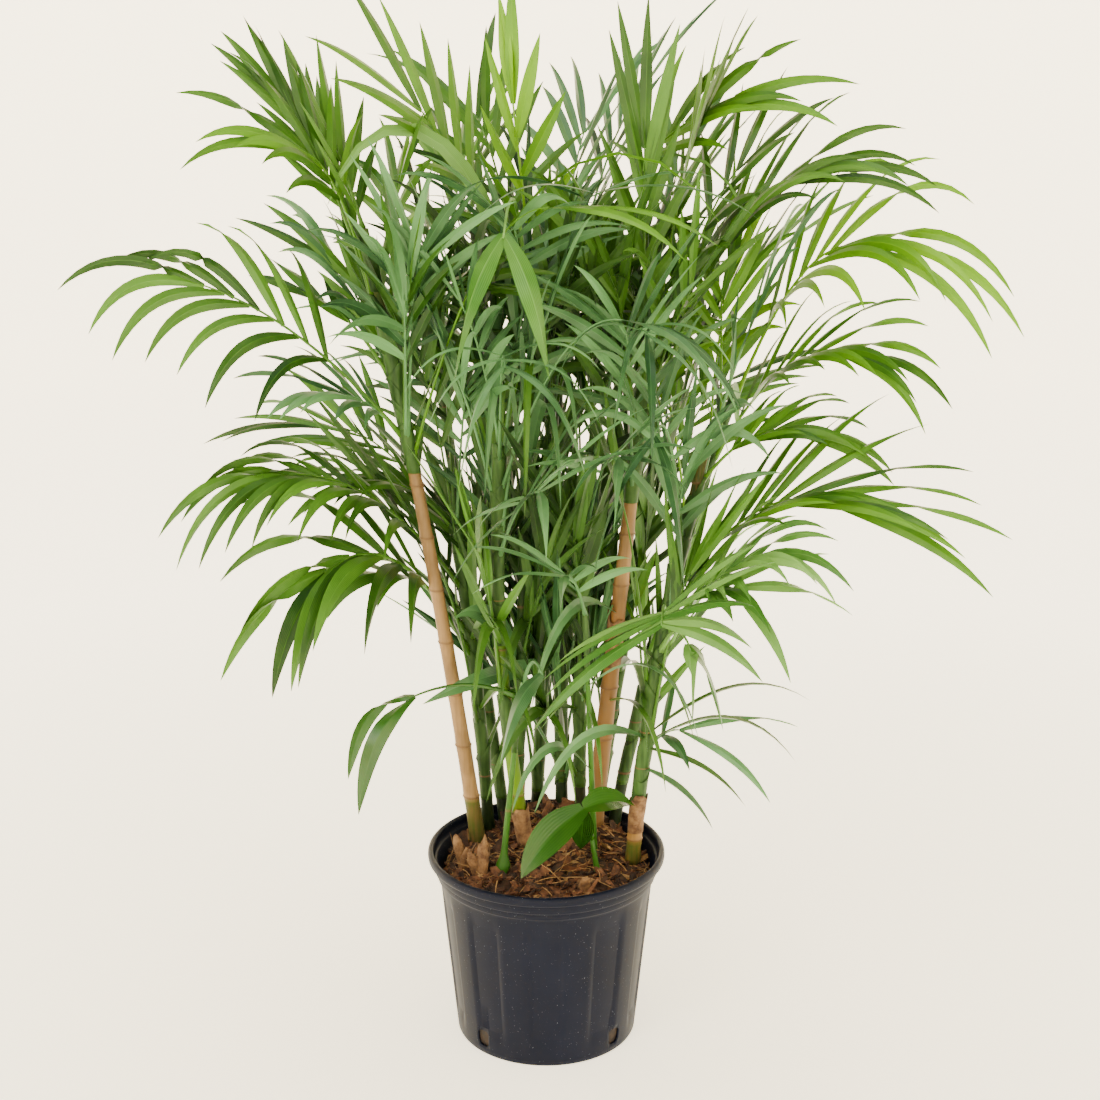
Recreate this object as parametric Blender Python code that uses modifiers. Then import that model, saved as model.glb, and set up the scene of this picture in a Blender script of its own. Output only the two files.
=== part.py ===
"""Potted bamboo palm: a round grow pot of bark mix and a clump of canes that carry feathered fronds.

Metres, +Z up, with the plant's front towards -Y. The origin is the centre of the pot's flat underside.
Every frond is one closed blade, cut to the rib between its leaflets, that starts at its cane's skin.
"""
import math
from typing import NamedTuple

import bmesh
import bpy
from mathutils import Matrix, Vector
from mathutils.bvhtree import BVHTree

# Driving dimensions of the pot, a nursery pot of ten inches
POT_HEIGHT = 0.2095
POT_BASE_RADIUS = 0.097
POT_BODY_TOP_RADIUS = 0.1145
POT_BODY_TOP = 0.182
LIP_RADIUS = 0.127
LIP_DEPTH = 0.0095
LIP_WIDTH = 0.0065
COLLAR_RADIUS = 0.1205
STEP_RADIUS = 0.117
WALL = 0.002
FLOOR = 0.003
POT_SIDES = 40

# Drain holes low in the pot's wall
DRAIN_HOLES = 4
DRAIN_FIRST = math.radians(-43.0)
DRAIN_SIZE = 0.020
DRAIN_MIDDLE = 0.019
DRAIN_CORNER = 0.005

# Bark mix, heaped up round the clump's root crown
MIX_EDGE = 0.181
MIX_CROWN = 0.010
HEAP_HEIGHT = 0.036
HEAP_CENTRE = (0.022, 0.076)
HEAP_SPREAD = (0.062, 0.045)
MIX_RINGS = 5

# Clearance that the solids keep where one carries the next
SEAT = 0.0003
CLEAR = 0.0005

# Canes, and the rings and spokes of points at which the bark mix is felt for under a foot
FOOT_RINGS = 4
FOOT_SPOKES = 20
CANE_SIDES = 10
CANE_RINGS = 4
CANE_TAPER = 0.72

# Fronds: the rib is a four-sided tube, and each leaflet is drawn out of its side
RIB_WIDTH = 0.0046
RIB_HEIGHT = 0.0034
RIB_TIP_SCALE = 0.62
RIB_SHARES = [0.0, 0.06, 0.15]
LEAF_ROOT = 0.008
LEAF_THICKNESS = 0.0105
LEAF_THINNEST = 0.0013
LEAF_STATIONS = ((0.28, 0.9), (0.58, 1.0), (0.83, 0.62))
INNER_STATIONS = ((0.45, 1.0),)
FOLD = math.radians(16.0)


class Cane(NamedTuple):
    """A cane from its flat foot on the bark mix to its flat top, both as x and y, with its top's height."""

    foot: tuple
    top: tuple
    height: float
    radius: float
    bow: float = 0.0
    colour: tuple = (0.10, 0.22, 0.05)


class Frond(NamedTuple):
    """A frond: the cane's level it leaves at, where its rib ends from there, and its leaflets."""

    cane: str
    level: float
    azimuth: float
    reach: float
    rise: float
    pairs: int = 6
    leaflet: float = 0.150
    width: float = 0.014
    droop: float = 0.9
    roll: float = 0.0
    base_angle: float = 48.0
    tip_angle: float = 20.0
    petiole: float = 0.36
    arch: float = 0.14
    stations: tuple = LEAF_STATIONS


TAN = (0.50, 0.30, 0.15)
OLIVE = (0.16, 0.17, 0.07)
CANES = {
    "left_tan": Cane((-0.075, 0.050), (-0.178, -0.010), 0.870, 0.0085, 0.006, TAN),
    "bright_green": Cane((-0.022, 0.025), (-0.046, -0.020), 0.655, 0.0078, -0.013, (0.28, 0.42, 0.04)),
    "dark_green": Cane((-0.064, 0.072), (-0.098, 0.070), 0.560, 0.0068, 0.004),
    "slim_green": Cane((-0.033, 0.070), (-0.010, 0.060), 0.760, 0.0066, -0.003),
    "ringed_green": Cane((0.017, 0.086), (0.000, 0.115), 0.740, 0.0068, 0.004),
    "olive": Cane((0.038, 0.072), (0.050, 0.075), 0.660, 0.0062, -0.006, OLIVE),
    "right_tan": Cane((0.052, 0.050), (0.100, 0.0425), 0.700, 0.0100, 0.0, TAN),
    "right_green": Cane((0.093, 0.004), (0.158, -0.030), 0.650, 0.0078, -0.010, (0.22, 0.34, 0.09)),
    "back_right": Cane((0.074, 0.074), (0.200, 0.120), 0.680, 0.0070, -0.010),
    "back_left": Cane((-0.046, 0.090), (-0.120, 0.200), 0.700, 0.0066, 0.0),
    "back_mid": Cane((-0.012, 0.104), (0.020, 0.215), 0.770, 0.0066, 0.0),
    "back_low": Cane((0.056, 0.086), (0.120, 0.205), 0.600, 0.0062, 0.0),
    "thin_green": Cane((0.052, 0.012), (0.040, -0.030), 0.480, 0.0036, 0.0),
    "young_shoot": Cane((-0.047, -0.030), (-0.027, -0.012), 0.390, 0.0036, 0.0),
    "sprout": Cane((0.055, -0.030), (0.048, -0.030), 0.232, 0.0034, 0.0),
}

# The fronds that make the crown's outline, and those that hang in front of the clump
FRONDS = (
    Frond("left_tan", 0.660, 188, 0.170, 0.154, pairs=7, leaflet=0.170, droop=1.4, roll=-58,
          base_angle=54, tip_angle=9, petiole=0.42, arch=0.05),
    Frond("left_tan", 0.780, 170, 0.050, 0.184, pairs=6, leaflet=0.115, droop=0.7, roll=-35,
          base_angle=46, tip_angle=14, petiole=0.40, arch=0.06),
    Frond("left_tan", 0.800, 196, 0.102, 0.161, pairs=6, leaflet=0.130, droop=1.7, roll=-50,
          base_angle=50, tip_angle=14, petiole=0.40, arch=0.10),
    Frond("left_tan", 0.870, 110, 0.055, 0.100, leaflet=0.135, droop=0.5, roll=20, base_angle=42,
          tip_angle=16, arch=0.05),
    Frond("left_tan", 0.660, 285, 0.075, 0.190, leaflet=0.150, droop=1.3, roll=-20, base_angle=52),
    Frond("ringed_green", 0.740, 203, 0.150, 0.236, pairs=6, leaflet=0.135, droop=0.3, roll=-35,
          base_angle=40, tip_angle=10, petiole=0.42, arch=0.12),
    Frond("slim_green", 0.760, 250, 0.064, 0.232, pairs=5, leaflet=0.128, droop=0.2, base_angle=38,
          tip_angle=7, petiole=0.36, arch=0.03),
    Frond("slim_green", 0.690, 262, 0.110, 0.185, pairs=5, leaflet=0.165, width=0.018, droop=1.5,
          roll=-15, base_angle=60, tip_angle=30, petiole=0.45),
    Frond("right_tan", 0.700, 238, 0.014, 0.198, pairs=6, leaflet=0.165, droop=0.2, base_angle=34,
          tip_angle=8, petiole=0.34, arch=0.03),
    Frond("right_tan", 0.690, 335, 0.066, 0.268, pairs=7, leaflet=0.155, droop=0.9, roll=45,
          base_angle=46, tip_angle=14, petiole=0.50, arch=0.24),
    Frond("right_tan", 0.655, 343, 0.142, 0.254, pairs=8, leaflet=0.150, droop=1.0, roll=45,
          base_angle=46, tip_angle=10, arch=0.06),
    Frond("right_tan", 0.600, 262, 0.078, 0.172, leaflet=0.155, droop=1.2, roll=20, base_angle=54),
    Frond("back_right", 0.670, 335, 0.118, 0.168, pairs=7, leaflet=0.205, droop=1.5, roll=45,
          base_angle=46, tip_angle=8, petiole=0.22, arch=0.20),
    Frond("back_right", 0.610, 330, 0.141, 0.143, pairs=6, leaflet=0.125, droop=1.1, roll=40,
          base_angle=46, tip_angle=12, petiole=0.26, arch=0.18),
    Frond("back_right", 0.640, 262, 0.050, 0.150, pairs=5, leaflet=0.125, droop=0.35, roll=10,
          base_angle=40, arch=0.08),
    Frond("right_green", 0.620, 5, 0.096, 0.084, leaflet=0.130, droop=1.2, roll=40, base_angle=48,
          tip_angle=14),
    Frond("right_green", 0.500, 350, 0.143, 0.098, pairs=8, leaflet=0.186, droop=1.25, roll=45,
          base_angle=52, tip_angle=8, petiole=0.30, arch=0.16),
    Frond("right_green", 0.430, 330, 0.060, 0.060, pairs=5, leaflet=0.165, droop=1.0, roll=50,
          base_angle=85, tip_angle=14, petiole=0.45),
    Frond("right_green", 0.470, 240, 0.120, 0.030, pairs=5, leaflet=0.185, droop=1.5, roll=-35,
          base_angle=60, tip_angle=18, petiole=0.45, arch=0.20),
    Frond("right_green", 0.330, 350, 0.030, 0.018, pairs=3, leaflet=0.125, width=0.013, droop=0.8,
          roll=60, base_angle=60),
    Frond("dark_green", 0.480, 194, 0.185, 0.136, pairs=7, leaflet=0.152, droop=1.4, roll=-52,
          base_angle=48, tip_angle=10, petiole=0.42, arch=0.08),
    Frond("dark_green", 0.405, 205, 0.136, 0.106, pairs=6, leaflet=0.182, width=0.018, droop=1.7,
          roll=-48, base_angle=60, tip_angle=14, arch=0.10),
    Frond("dark_green", 0.545, 285, 0.062, 0.165, leaflet=0.145, droop=1.2, roll=-20, base_angle=52),
    Frond("bright_green", 0.540, 300, 0.082, 0.085, pairs=5, leaflet=0.165, droop=0.8, roll=30,
          base_angle=75, tip_angle=30, petiole=0.50),
    Frond("bright_green", 0.655, 222, 0.050, 0.150, leaflet=0.150, droop=0.9, roll=-30, base_angle=50),
    Frond("young_shoot", 0.385, 201, 0.102, 0.004, pairs=1, leaflet=0.128, width=0.028, droop=2.2,
          tip_angle=26, arch=0.10),
    Frond("thin_green", 0.480, 250, 0.060, 0.060, pairs=4, leaflet=0.140, width=0.013, droop=0.9),
    Frond("sprout", 0.232, 305, 0.008, 0.024, pairs=1, leaflet=0.085, width=0.036, droop=0.9, tip_angle=95),
)

# The rest of the crown, dealt out round each cane by one rule: cane, fronds, first azimuth and step
FILLS = (
    ("slim_green", 1, 140.0, 0.0),
    ("ringed_green", 2, 70.0, 75.0),
    ("olive", 2, 40.0, 240.0),
    ("right_tan", 1, 70.0, 0.0),
    ("back_left", 3, 80.0, 35.0),
    ("back_mid", 3, 45.0, 45.0),
    ("back_low", 3, 0.0, 45.0),
)
FILL_DROP = 0.085
FILL_REACH = (0.110, 0.165)
FILL_RISE = (0.240, 0.120)
FILL_LEAFLET = (0.155, 0.175)
FILL_ROLL = 25.0

# Turns tried for a rib that would touch something, and bends and lengths for a leaflet
RIB_TURNS = (0, 4, -4, 8, -8, 13, -13, 18, -18, 24, -24)
LEAF_BENDS = (0.0, 0.15, -0.15, 0.3, -0.3, 0.5, -0.5)
LEAF_LENGTHS = (1.0, 0.85, 0.7, 0.55, 0.42)

# A leaflet starts out straight and bows over late: the power of its share of length that it droops by
DROOP_LATE = 1.8

# A leaflet is tested against its own rib only past this share of its first run
OWN_FRONT = 0.02


def clear_scene():
    """Remove every object that the file opened with."""
    for obj in list(bpy.data.objects):
        bpy.data.objects.remove(obj, do_unlink=True)


def make_material(name, colour, roughness):
    """Make a plain material of one colour and roughness."""
    material = bpy.data.materials.new(name)
    material.use_nodes = True
    shader = material.node_tree.nodes["Principled BSDF"]
    shader.inputs["Base Color"].default_value = (*colour, 1.0)
    shader.inputs["Roughness"].default_value = roughness
    shader.inputs["Metallic"].default_value = 0.0
    return material


def add_object(name, bm, material, collection):
    """Write a bmesh to a new object of the collection, its faces turned outwards."""
    bmesh.ops.recalc_face_normals(bm, faces=bm.faces[:])
    mesh = bpy.data.meshes.new(name)
    bm.to_mesh(mesh)
    bm.free()
    obj = bpy.data.objects.new(name, mesh)
    mesh.materials.append(material)
    collection.objects.link(obj)
    return obj


def pot_profile():
    """Return the pot's section as (radius, height), down its outer side and up its inner one."""
    inner_top = LIP_RADIUS - LIP_WIDTH
    collar_low = POT_HEIGHT - LIP_DEPTH - 0.011
    return (
        (LIP_RADIUS - 0.002, POT_HEIGHT),
        (LIP_RADIUS, POT_HEIGHT - 0.002),
        (LIP_RADIUS, POT_HEIGHT - LIP_DEPTH),
        (COLLAR_RADIUS + 0.001, POT_HEIGHT - LIP_DEPTH - 0.001),
        (COLLAR_RADIUS, collar_low),
        (STEP_RADIUS, collar_low - 0.002),
        (POT_BODY_TOP_RADIUS, POT_BODY_TOP - 0.004),
        (POT_BASE_RADIUS, 0.002),
        (POT_BASE_RADIUS - 0.002, 0.0),
        (0.0, 0.0),
        (0.0, FLOOR),
        (POT_BASE_RADIUS - WALL, FLOOR),
        (POT_BODY_TOP_RADIUS - WALL, POT_BODY_TOP),
        (inner_top - 0.002, POT_HEIGHT - LIP_DEPTH),
        (inner_top, POT_HEIGHT),
    )


def build_pot(collection, cutters):
    """Turn the pot's section and cut the drain holes through the foot of its wall."""
    profile = pot_profile()
    mesh = bpy.data.meshes.new("pot")
    count = len(profile)
    split = next(i for i, point in enumerate(profile) if point[0] == 0.0)
    edges = [(i, (i + 1) % count) for i in range(count) if i != split]
    mesh.from_pydata([(radius, 0.0, z) for radius, z in profile], edges, [])
    pot = bpy.data.objects.new("pot", mesh)
    mesh.materials.append(make_material("pot_plastic", (0.035, 0.038, 0.045), 0.55))
    collection.objects.link(pot)
    screw = pot.modifiers.new("turn", "SCREW")
    screw.steps = screw.render_steps = POT_SIDES
    screw.use_merge_vertices = True
    screw.merge_threshold = 0.0001
    for i in range(DRAIN_HOLES):
        angle = DRAIN_FIRST + i * math.tau / DRAIN_HOLES
        bm = bmesh.new()
        bmesh.ops.create_cube(bm, size=DRAIN_SIZE)
        radial = [e for e in bm.edges if abs(e.verts[0].co.x - e.verts[1].co.x) > DRAIN_CORNER]
        bmesh.ops.bevel(bm, geom=radial, offset=DRAIN_CORNER, segments=2, profile=0.5, affect="EDGES")
        cutter = add_object(f"drain_cutter_{i + 1}", bm, mesh.materials[0], cutters)
        cutter.location = (POT_BASE_RADIUS * math.cos(angle), POT_BASE_RADIUS * math.sin(angle), DRAIN_MIDDLE)
        cutter.rotation_euler.z = angle
        cutter.hide_render = True
        cutter.display_type = "WIRE"
        cut = pot.modifiers.new(f"drain_{i + 1}", "BOOLEAN")
        cut.operation = "DIFFERENCE"
        cut.object = cutter
    return pot


def mix_height(x, y, rim):
    """Return the bark mix's height at x and y, for a filling of the given rim radius."""
    share = min(math.hypot(x, y) / rim, 1.0)
    dx = (x - HEAP_CENTRE[0]) / HEAP_SPREAD[0]
    dy = (y - HEAP_CENTRE[1]) / HEAP_SPREAD[1]
    heap = HEAP_HEIGHT * math.exp(-dx * dx - dy * dy) * (1.0 - share ** 8)
    return MIX_EDGE + MIX_CROWN * (1.0 - share ** 4) + heap


def build_mix(collection):
    """Spin the filling's section to fit inside the pot, then heap up its top."""
    slope = (POT_BODY_TOP_RADIUS - POT_BASE_RADIUS) / (POT_BODY_TOP - FLOOR)
    low = POT_BASE_RADIUS - WALL - SEAT
    rim = low + slope * (MIX_EDGE - FLOOR)
    bm = bmesh.new()
    section = [(0.0, FLOOR + SEAT), (low, FLOOR + SEAT)]
    section += [(rim * (1.0 - i / MIX_RINGS), MIX_EDGE) for i in range(MIX_RINGS + 1)]
    verts = [bm.verts.new((radius, 0.0, z)) for radius, z in section]
    edges = [bm.edges.new(pair) for pair in zip(verts, verts[1:])]
    bmesh.ops.spin(bm, geom=verts + edges, cent=(0, 0, 0), axis=(0, 0, 1), angle=math.tau, steps=POT_SIDES)
    bmesh.ops.remove_doubles(bm, verts=bm.verts[:], dist=0.0001)
    for vert in bm.verts:
        if vert.co.z > MIX_EDGE - SEAT:
            vert.co.z = mix_height(vert.co.x, vert.co.y, rim)
    bmesh.ops.triangulate(bm, faces=bm.faces[:])
    return add_object("growing_mix", bm, make_material("bark_mix", (0.13, 0.055, 0.03), 0.95), collection)


class Stem:
    """A cane's axis as straight runs between level rings, with its tapering radius."""

    def __init__(self, spec, foot_z):
        self.spec = spec
        self.foot_z = foot_z
        self.levels = [foot_z + (spec.height - foot_z) * i / CANE_RINGS for i in range(CANE_RINGS + 1)]

    def centre(self, z):
        """Return the axis point at height z, on the straight run it falls in."""
        run = (self.levels[-1] - self.foot_z) / CANE_RINGS
        i = min(max(int((z - self.foot_z) / run), 0), CANE_RINGS - 1)
        low, high = self.smooth(self.levels[i]), self.smooth(self.levels[i + 1])
        return low.lerp(high, (z - self.levels[i]) / run)

    def smooth(self, z):
        """Return the point of the bowed axis at height z."""
        share = (z - self.foot_z) / (self.spec.height - self.foot_z)
        x = self.spec.foot[0] + (self.spec.top[0] - self.spec.foot[0]) * share
        y = self.spec.foot[1] + (self.spec.top[1] - self.spec.foot[1]) * share
        return Vector((x + self.spec.bow * 4.0 * share * (1.0 - share), y, z))

    def radius(self, z):
        """Return the cane's radius at height z."""
        share = (z - self.foot_z) / (self.spec.height - self.foot_z)
        return self.spec.radius * (1.0 + (CANE_TAPER - 1.0) * share)

    def direction(self, z):
        """Return the direction of the run at height z."""
        step = 0.002
        low = min(z, self.spec.height - step)
        return (self.centre(low + step) - self.centre(low)).normalized()


def build_cane(name, spec, ground, collection):
    """Make a tapering cone, cut it into levels and slide these along the cane's bowed axis."""
    foot_z = ground + SEAT
    stem = Stem(spec, foot_z)
    height = spec.height - foot_z
    bm = bmesh.new()
    bmesh.ops.create_cone(bm, cap_ends=True, segments=CANE_SIDES, radius1=spec.radius,
                          radius2=spec.radius * CANE_TAPER, depth=height)
    bmesh.ops.translate(bm, verts=bm.verts[:], vec=(0, 0, foot_z + height / 2.0))
    for level in stem.levels[1:-1]:
        geom = bm.verts[:] + bm.edges[:] + bm.faces[:]
        bmesh.ops.bisect_plane(bm, geom=geom, plane_co=(0, 0, level), plane_no=(0, 0, 1))
    for vert in bm.verts:
        centre = stem.centre(vert.co.z)
        vert.co.x += centre.x
        vert.co.y += centre.y
    add_object(f"cane_{name}", bm, make_material(f"cane_{name}", spec.colour, 0.45), collection)
    return stem


def ground_under(mix_tree, spec):
    """Return the highest point of the bark mix under a cane's foot."""
    highest = 0.0
    for i in range(FOOT_RINGS * FOOT_SPOKES):
        ring_number, spoke = divmod(i, FOOT_SPOKES)
        reach = spec.radius * (ring_number + 1) / FOOT_RINGS
        angle = math.tau * spoke / FOOT_SPOKES
        x = spec.foot[0] + reach * math.cos(angle)
        y = spec.foot[1] + reach * math.sin(angle)
        hit = mix_tree.ray_cast(Vector((x, y, 1.0)), Vector((0, 0, -1)))
        highest = max(highest, hit[0].z)
    return highest


class Obstacles:
    """The solids made so far, as triangle trees with their boxes, to keep new blades clear of."""

    def __init__(self):
        self.trees = []

    def add(self, verts, faces, owner):
        """Keep a closed shape, under its owner's name."""
        self.trees.append((box_of(verts), BVHTree.FromPolygons(verts, faces), owner))

    def hit(self, verts, faces, but=()):
        """Tell whether a shape cuts any kept one but those of the given owners."""
        low, high = box_of(verts)
        tree = None
        for (other_low, other_high), other, name in self.trees:
            if name in but:
                continue
            if any(low[i] > other_high[i] or high[i] < other_low[i] for i in range(3)):
                continue
            tree = tree or BVHTree.FromPolygons(verts, faces)
            if tree.overlap(other):
                return True
        return False


def box_of(verts):
    """Return the low and high corner of some points."""
    low = [min(v[i] for v in verts) - CLEAR for i in range(3)]
    high = [max(v[i] for v in verts) + CLEAR for i in range(3)]
    return low, high


def ring(centre, across, up, width, height):
    """Return the four corners of a flat section: low left, low right, high right, high left."""
    side = across * (width / 2.0)
    top = up * (height / 2.0)
    return [centre - side - top, centre + side - top, centre + side + top, centre - side + top]


def bridge_faces():
    """Return the two triangles of each side between two four-cornered sections, numbered 0-3 and 4-7.

    The upper and the lower side are cut along the same diagonal, so that the blade is as thick everywhere.
    """
    faces = []
    for i in range(4):
        k = (i + 1) % 4
        if i == 2:
            faces += [(i, k, 4 + i), (k, 4 + k, 4 + i)]
        else:
            faces += [(i, k, 4 + k), (i, 4 + k, 4 + i)]
    return faces


BRIDGE_FACES = bridge_faces()


def tube_faces(rings):
    """Return the points and triangles of a closed tube through some rings, to test it with."""
    verts = [point for section in rings for point in section]
    faces = [(0, 1, 2, 3)]
    for j in range(len(rings) - 1):
        faces += [[4 * j + corner for corner in face] for face in BRIDGE_FACES]
    last = 4 * (len(rings) - 1)
    faces.append((last, last + 1, last + 2, last + 3))
    return verts, faces


class Rib:
    """A frond's rib: a bowed line from its cane's skin to its tip, and the sections along it."""

    def __init__(self, spec, stem, turn):
        self.spec = spec
        azimuth = math.radians(spec.azimuth + turn)
        out = Vector((math.cos(azimuth), math.sin(azimuth), 0.0))
        side = Vector((-out.y, out.x, 0.0))
        self.out = out
        self.tree = None
        if spec.level >= stem.spec.height:
            self.start = stem.centre(stem.spec.height) + Vector((0, 0, SEAT))
            self.first = ring(self.start, side, -out, RIB_WIDTH, RIB_HEIGHT)
        else:
            level = min(spec.level, stem.spec.height - RIB_WIDTH)
            skin = stem.radius(level - RIB_WIDTH) + SEAT
            self.start = stem.centre(level) + out * skin
            self.first = ring(self.start, side, stem.direction(level), RIB_WIDTH, RIB_HEIGHT)
        self.end = self.start + out * spec.reach + Vector((0, 0, spec.rise))
        chord = (self.end - self.start).length
        self.middle = (self.start + self.end) / 2.0 + Vector((0, 0, spec.arch * chord)) * 2.0

    def point(self, share):
        """Return the rib's point at a share of its length."""
        low = self.start.lerp(self.middle, share)
        high = self.middle.lerp(self.end, share)
        return low.lerp(high, share)

    def frame(self, share):
        """Return the rib's direction, side and upper side at a share of its length."""
        low = self.start.lerp(self.middle, share)
        high = self.middle.lerp(self.end, share)
        along = (high - low).normalized()
        level = Vector((-self.out.y, self.out.x, 0.0))
        roll = Matrix.Rotation(math.radians(self.spec.roll) * min(share * 2.0, 1.0), 3, along)
        side = roll @ (level - along * level.dot(along)).normalized()
        return along, side, along.cross(side)

    def section(self, share, grow=0.0):
        """Return the rib's four corners at a share of its length, a little larger for a test."""
        if share <= 0.0:
            return self.first
        _, side, up = self.frame(share)
        scale = 1.0 + (RIB_TIP_SCALE - 1.0) * share
        return ring(self.point(share), side, up, RIB_WIDTH * scale + grow, RIB_HEIGHT * scale + grow)

    def length(self):
        """Return the rib's length, near enough, as its chord and its control lines' mean."""
        lines = (self.middle - self.start).length + (self.end - self.middle).length
        return ((self.end - self.start).length + lines) / 2.0

    def bases(self):
        """Return the shares of the rib's length between which each leaflet pair is rooted."""
        half = LEAF_ROOT / 2.0 / self.length()
        pairs = self.spec.pairs
        if pairs == 1:
            return [(1.0 - 2.0 * half, 1.0)]
        first = self.spec.petiole
        middles = [first + (1.0 - half - first) * i / (pairs - 1) for i in range(pairs)]
        return [(middle - half, middle + half) for middle in middles]


def leaf_sections(rib, number, sign, bend, size, grow=0.0):
    """Return a leaflet's sections along its drooping line, from its root on the rib, and its tip."""
    spec = rib.spec
    low, high = rib.bases()[number]
    share = (low + high) / 2.0
    along, side, up = rib.frame(share)
    step = number / (spec.pairs - 1) if spec.pairs > 1 else 1.0
    angle = math.radians(spec.base_angle + (spec.tip_angle - spec.base_angle) * step)
    outward = side * (sign * math.cos(FOLD)) + up * math.sin(FOLD)
    heading = along * math.cos(angle) + outward * math.sin(angle)
    length = spec.leaflet * size * (0.80 + 0.20 * math.sin(math.pi * (0.25 + 0.6 * step)))
    thickness = max(LEAF_THICKNESS * length, LEAF_THINNEST) + grow
    point = rib.point(share)
    sections = []
    reached = 0.0
    last = heading
    for station, share_of_width in spec.stations + ((1.0, 0.0),):
        now = heading + Vector((0, 0, -(spec.droop + bend) * station ** DROOP_LATE))
        now.normalize()
        point = point + (last + now).normalized() * (length * (station - reached))
        reached, last = station, now
        across = (along - now * along.dot(now)).normalized()
        if share_of_width:
            normal = across.cross(now) * sign
            sections.append(ring(point, across, normal, spec.width * share_of_width + grow, thickness))
    return sections, point


def leaf_probe(rib, number, sign, bend, size, start=0.0, grow=0.0):
    """Return a leaflet's closed shape from a share of its first run on, to test it with."""
    sections, tip = leaf_sections(rib, number, sign, bend, size, grow)
    root = leaf_root_ring(rib, number, sign)
    first = [corner.lerp(section, start) for corner, section in zip(root, sections[0])]
    verts, faces = tube_faces([first] + sections)
    last = len(verts) - 4
    faces.pop()
    faces += [(last + i, last + (i + 1) % 4, len(verts)) for i in range(4)]
    return verts + [tip], faces


def folds(verts, faces):
    """Tell whether a shape cuts itself."""
    tree = BVHTree.FromPolygons(verts, faces)
    return any(not set(faces[a]) & set(faces[b]) for a, b in tree.overlap(tree))


def leaf_root_ring(rib, number, sign):
    """Return the corners that a leaflet grows from, in the order of its own sections."""
    low, high = rib.bases()[number]
    near, far = rib.section(low), rib.section(high)
    if sign > 0:
        return [near[1], far[1], far[2], near[2]]
    return [near[0], far[0], far[3], near[3]]


def bridge(bm, start, finish, open_sides=()):
    """Join two four-cornered sections with triangles, but for the sides left open."""
    corners = start + finish
    for i, face in enumerate(BRIDGE_FACES):
        if i // 2 not in open_sides:
            bm.faces.new([corners[corner] for corner in face])


def add_leaf(bm, root, sections, tip):
    """Draw a leaflet out of four corners of the rib through its sections to its tip."""
    start = root
    for section in sections:
        finish = [bm.verts.new(point) for point in section]
        bridge(bm, start, finish)
        start = finish
    point = bm.verts.new(tip)
    for i in range(4):
        bm.faces.new((start[i], start[(i + 1) % 4], point))


def place_rib(spec, name, stem, obstacles):
    """Find a turn of the frond at which its rib touches nothing, or return None."""
    for turn in RIB_TURNS:
        rib = Rib(spec, stem, turn)
        shares = RIB_SHARES + [share for base in rib.bases() for share in base]
        rings = [rib.section(share, grow=2.0 * CLEAR) for share in shares]
        whole, beyond = tube_faces(rings), tube_faces(rings[1:])
        if not obstacles.hit(*beyond) and not obstacles.hit(*whole, but=(spec.cane,)):
            obstacles.add(*whole, name)
            rib.tree = BVHTree.FromPolygons(*tube_faces([rib.section(share) for share in shares]))
            return rib
    return None


def place_leaves(rib, name, obstacles):
    """Choose each leaflet's bend and length so that it clears all that stands; skip what can't."""
    chosen = {}
    for number in range(rib.spec.pairs):
        for sign in (1, -1):
            for size, bend in ((s, b) for s in LEAF_LENGTHS for b in LEAF_BENDS):
                probe = leaf_probe(rib, number, sign, bend, size, grow=2.0 * CLEAR)
                front = leaf_probe(rib, number, sign, bend, size, start=OWN_FRONT)
                if obstacles.hit(*probe, but=(name,)) or BVHTree.FromPolygons(*front).overlap(rib.tree):
                    continue
                if folds(*leaf_probe(rib, number, sign, bend, size)):
                    continue
                chosen[number, sign] = (bend, size)
                obstacles.add(*probe, name + "_leaves")
                break
    return chosen


def build_frond(name, rib, chosen, material, collection):
    """Loft the rib section by section, and draw its leaflets out of its sides."""
    bm = bmesh.new()
    bases = rib.bases()
    shares = RIB_SHARES + [share for base in bases for share in base]
    rings = [[bm.verts.new(point) for point in rib.section(share)] for share in shares]
    first_base = len(RIB_SHARES)
    bm.faces.new(reversed(rings[0]))
    bm.faces.new(rings[-1])
    for j in range(len(rings) - 1):
        number, offset = divmod(j - first_base, 2)
        rooted = j >= first_base and offset == 0
        signs = [sign for sign in (1, -1) if rooted and (number, sign) in chosen]
        near, far = rings[j], rings[j + 1]
        bridge(bm, near, far, open_sides=[1 if sign > 0 else 3 for sign in signs])
        for sign in signs:
            root = [near[1], far[1], far[2], near[2]] if sign > 0 else [near[0], far[0], far[3], near[3]]
            bend, size = chosen[number, sign]
            add_leaf(bm, root, *leaf_sections(rib, number, sign, bend, size))
    return add_object(name, bm, material, collection)


def fill_fronds():
    """Deal the rest of the crown out round the canes by one rule."""
    fronds = []
    for cane, count, first, step in FILLS:
        for i in range(count):
            share = i / max(count - 1, 1)
            level = CANES[cane].height - FILL_DROP * (i + 0.4)
            azimuth = (first + step * i) % 360.0
            reach = FILL_REACH[0] + (FILL_REACH[1] - FILL_REACH[0]) * share
            rise = FILL_RISE[0] + (FILL_RISE[1] - FILL_RISE[0]) * share
            leaflet = FILL_LEAFLET[0] + (FILL_LEAFLET[1] - FILL_LEAFLET[0]) * share
            roll = FILL_ROLL if i % 2 else -FILL_ROLL
            fronds.append(Frond(cane, level, azimuth, reach, rise, leaflet=leaflet, roll=roll,
                                stations=INNER_STATIONS))
    return fronds


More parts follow.
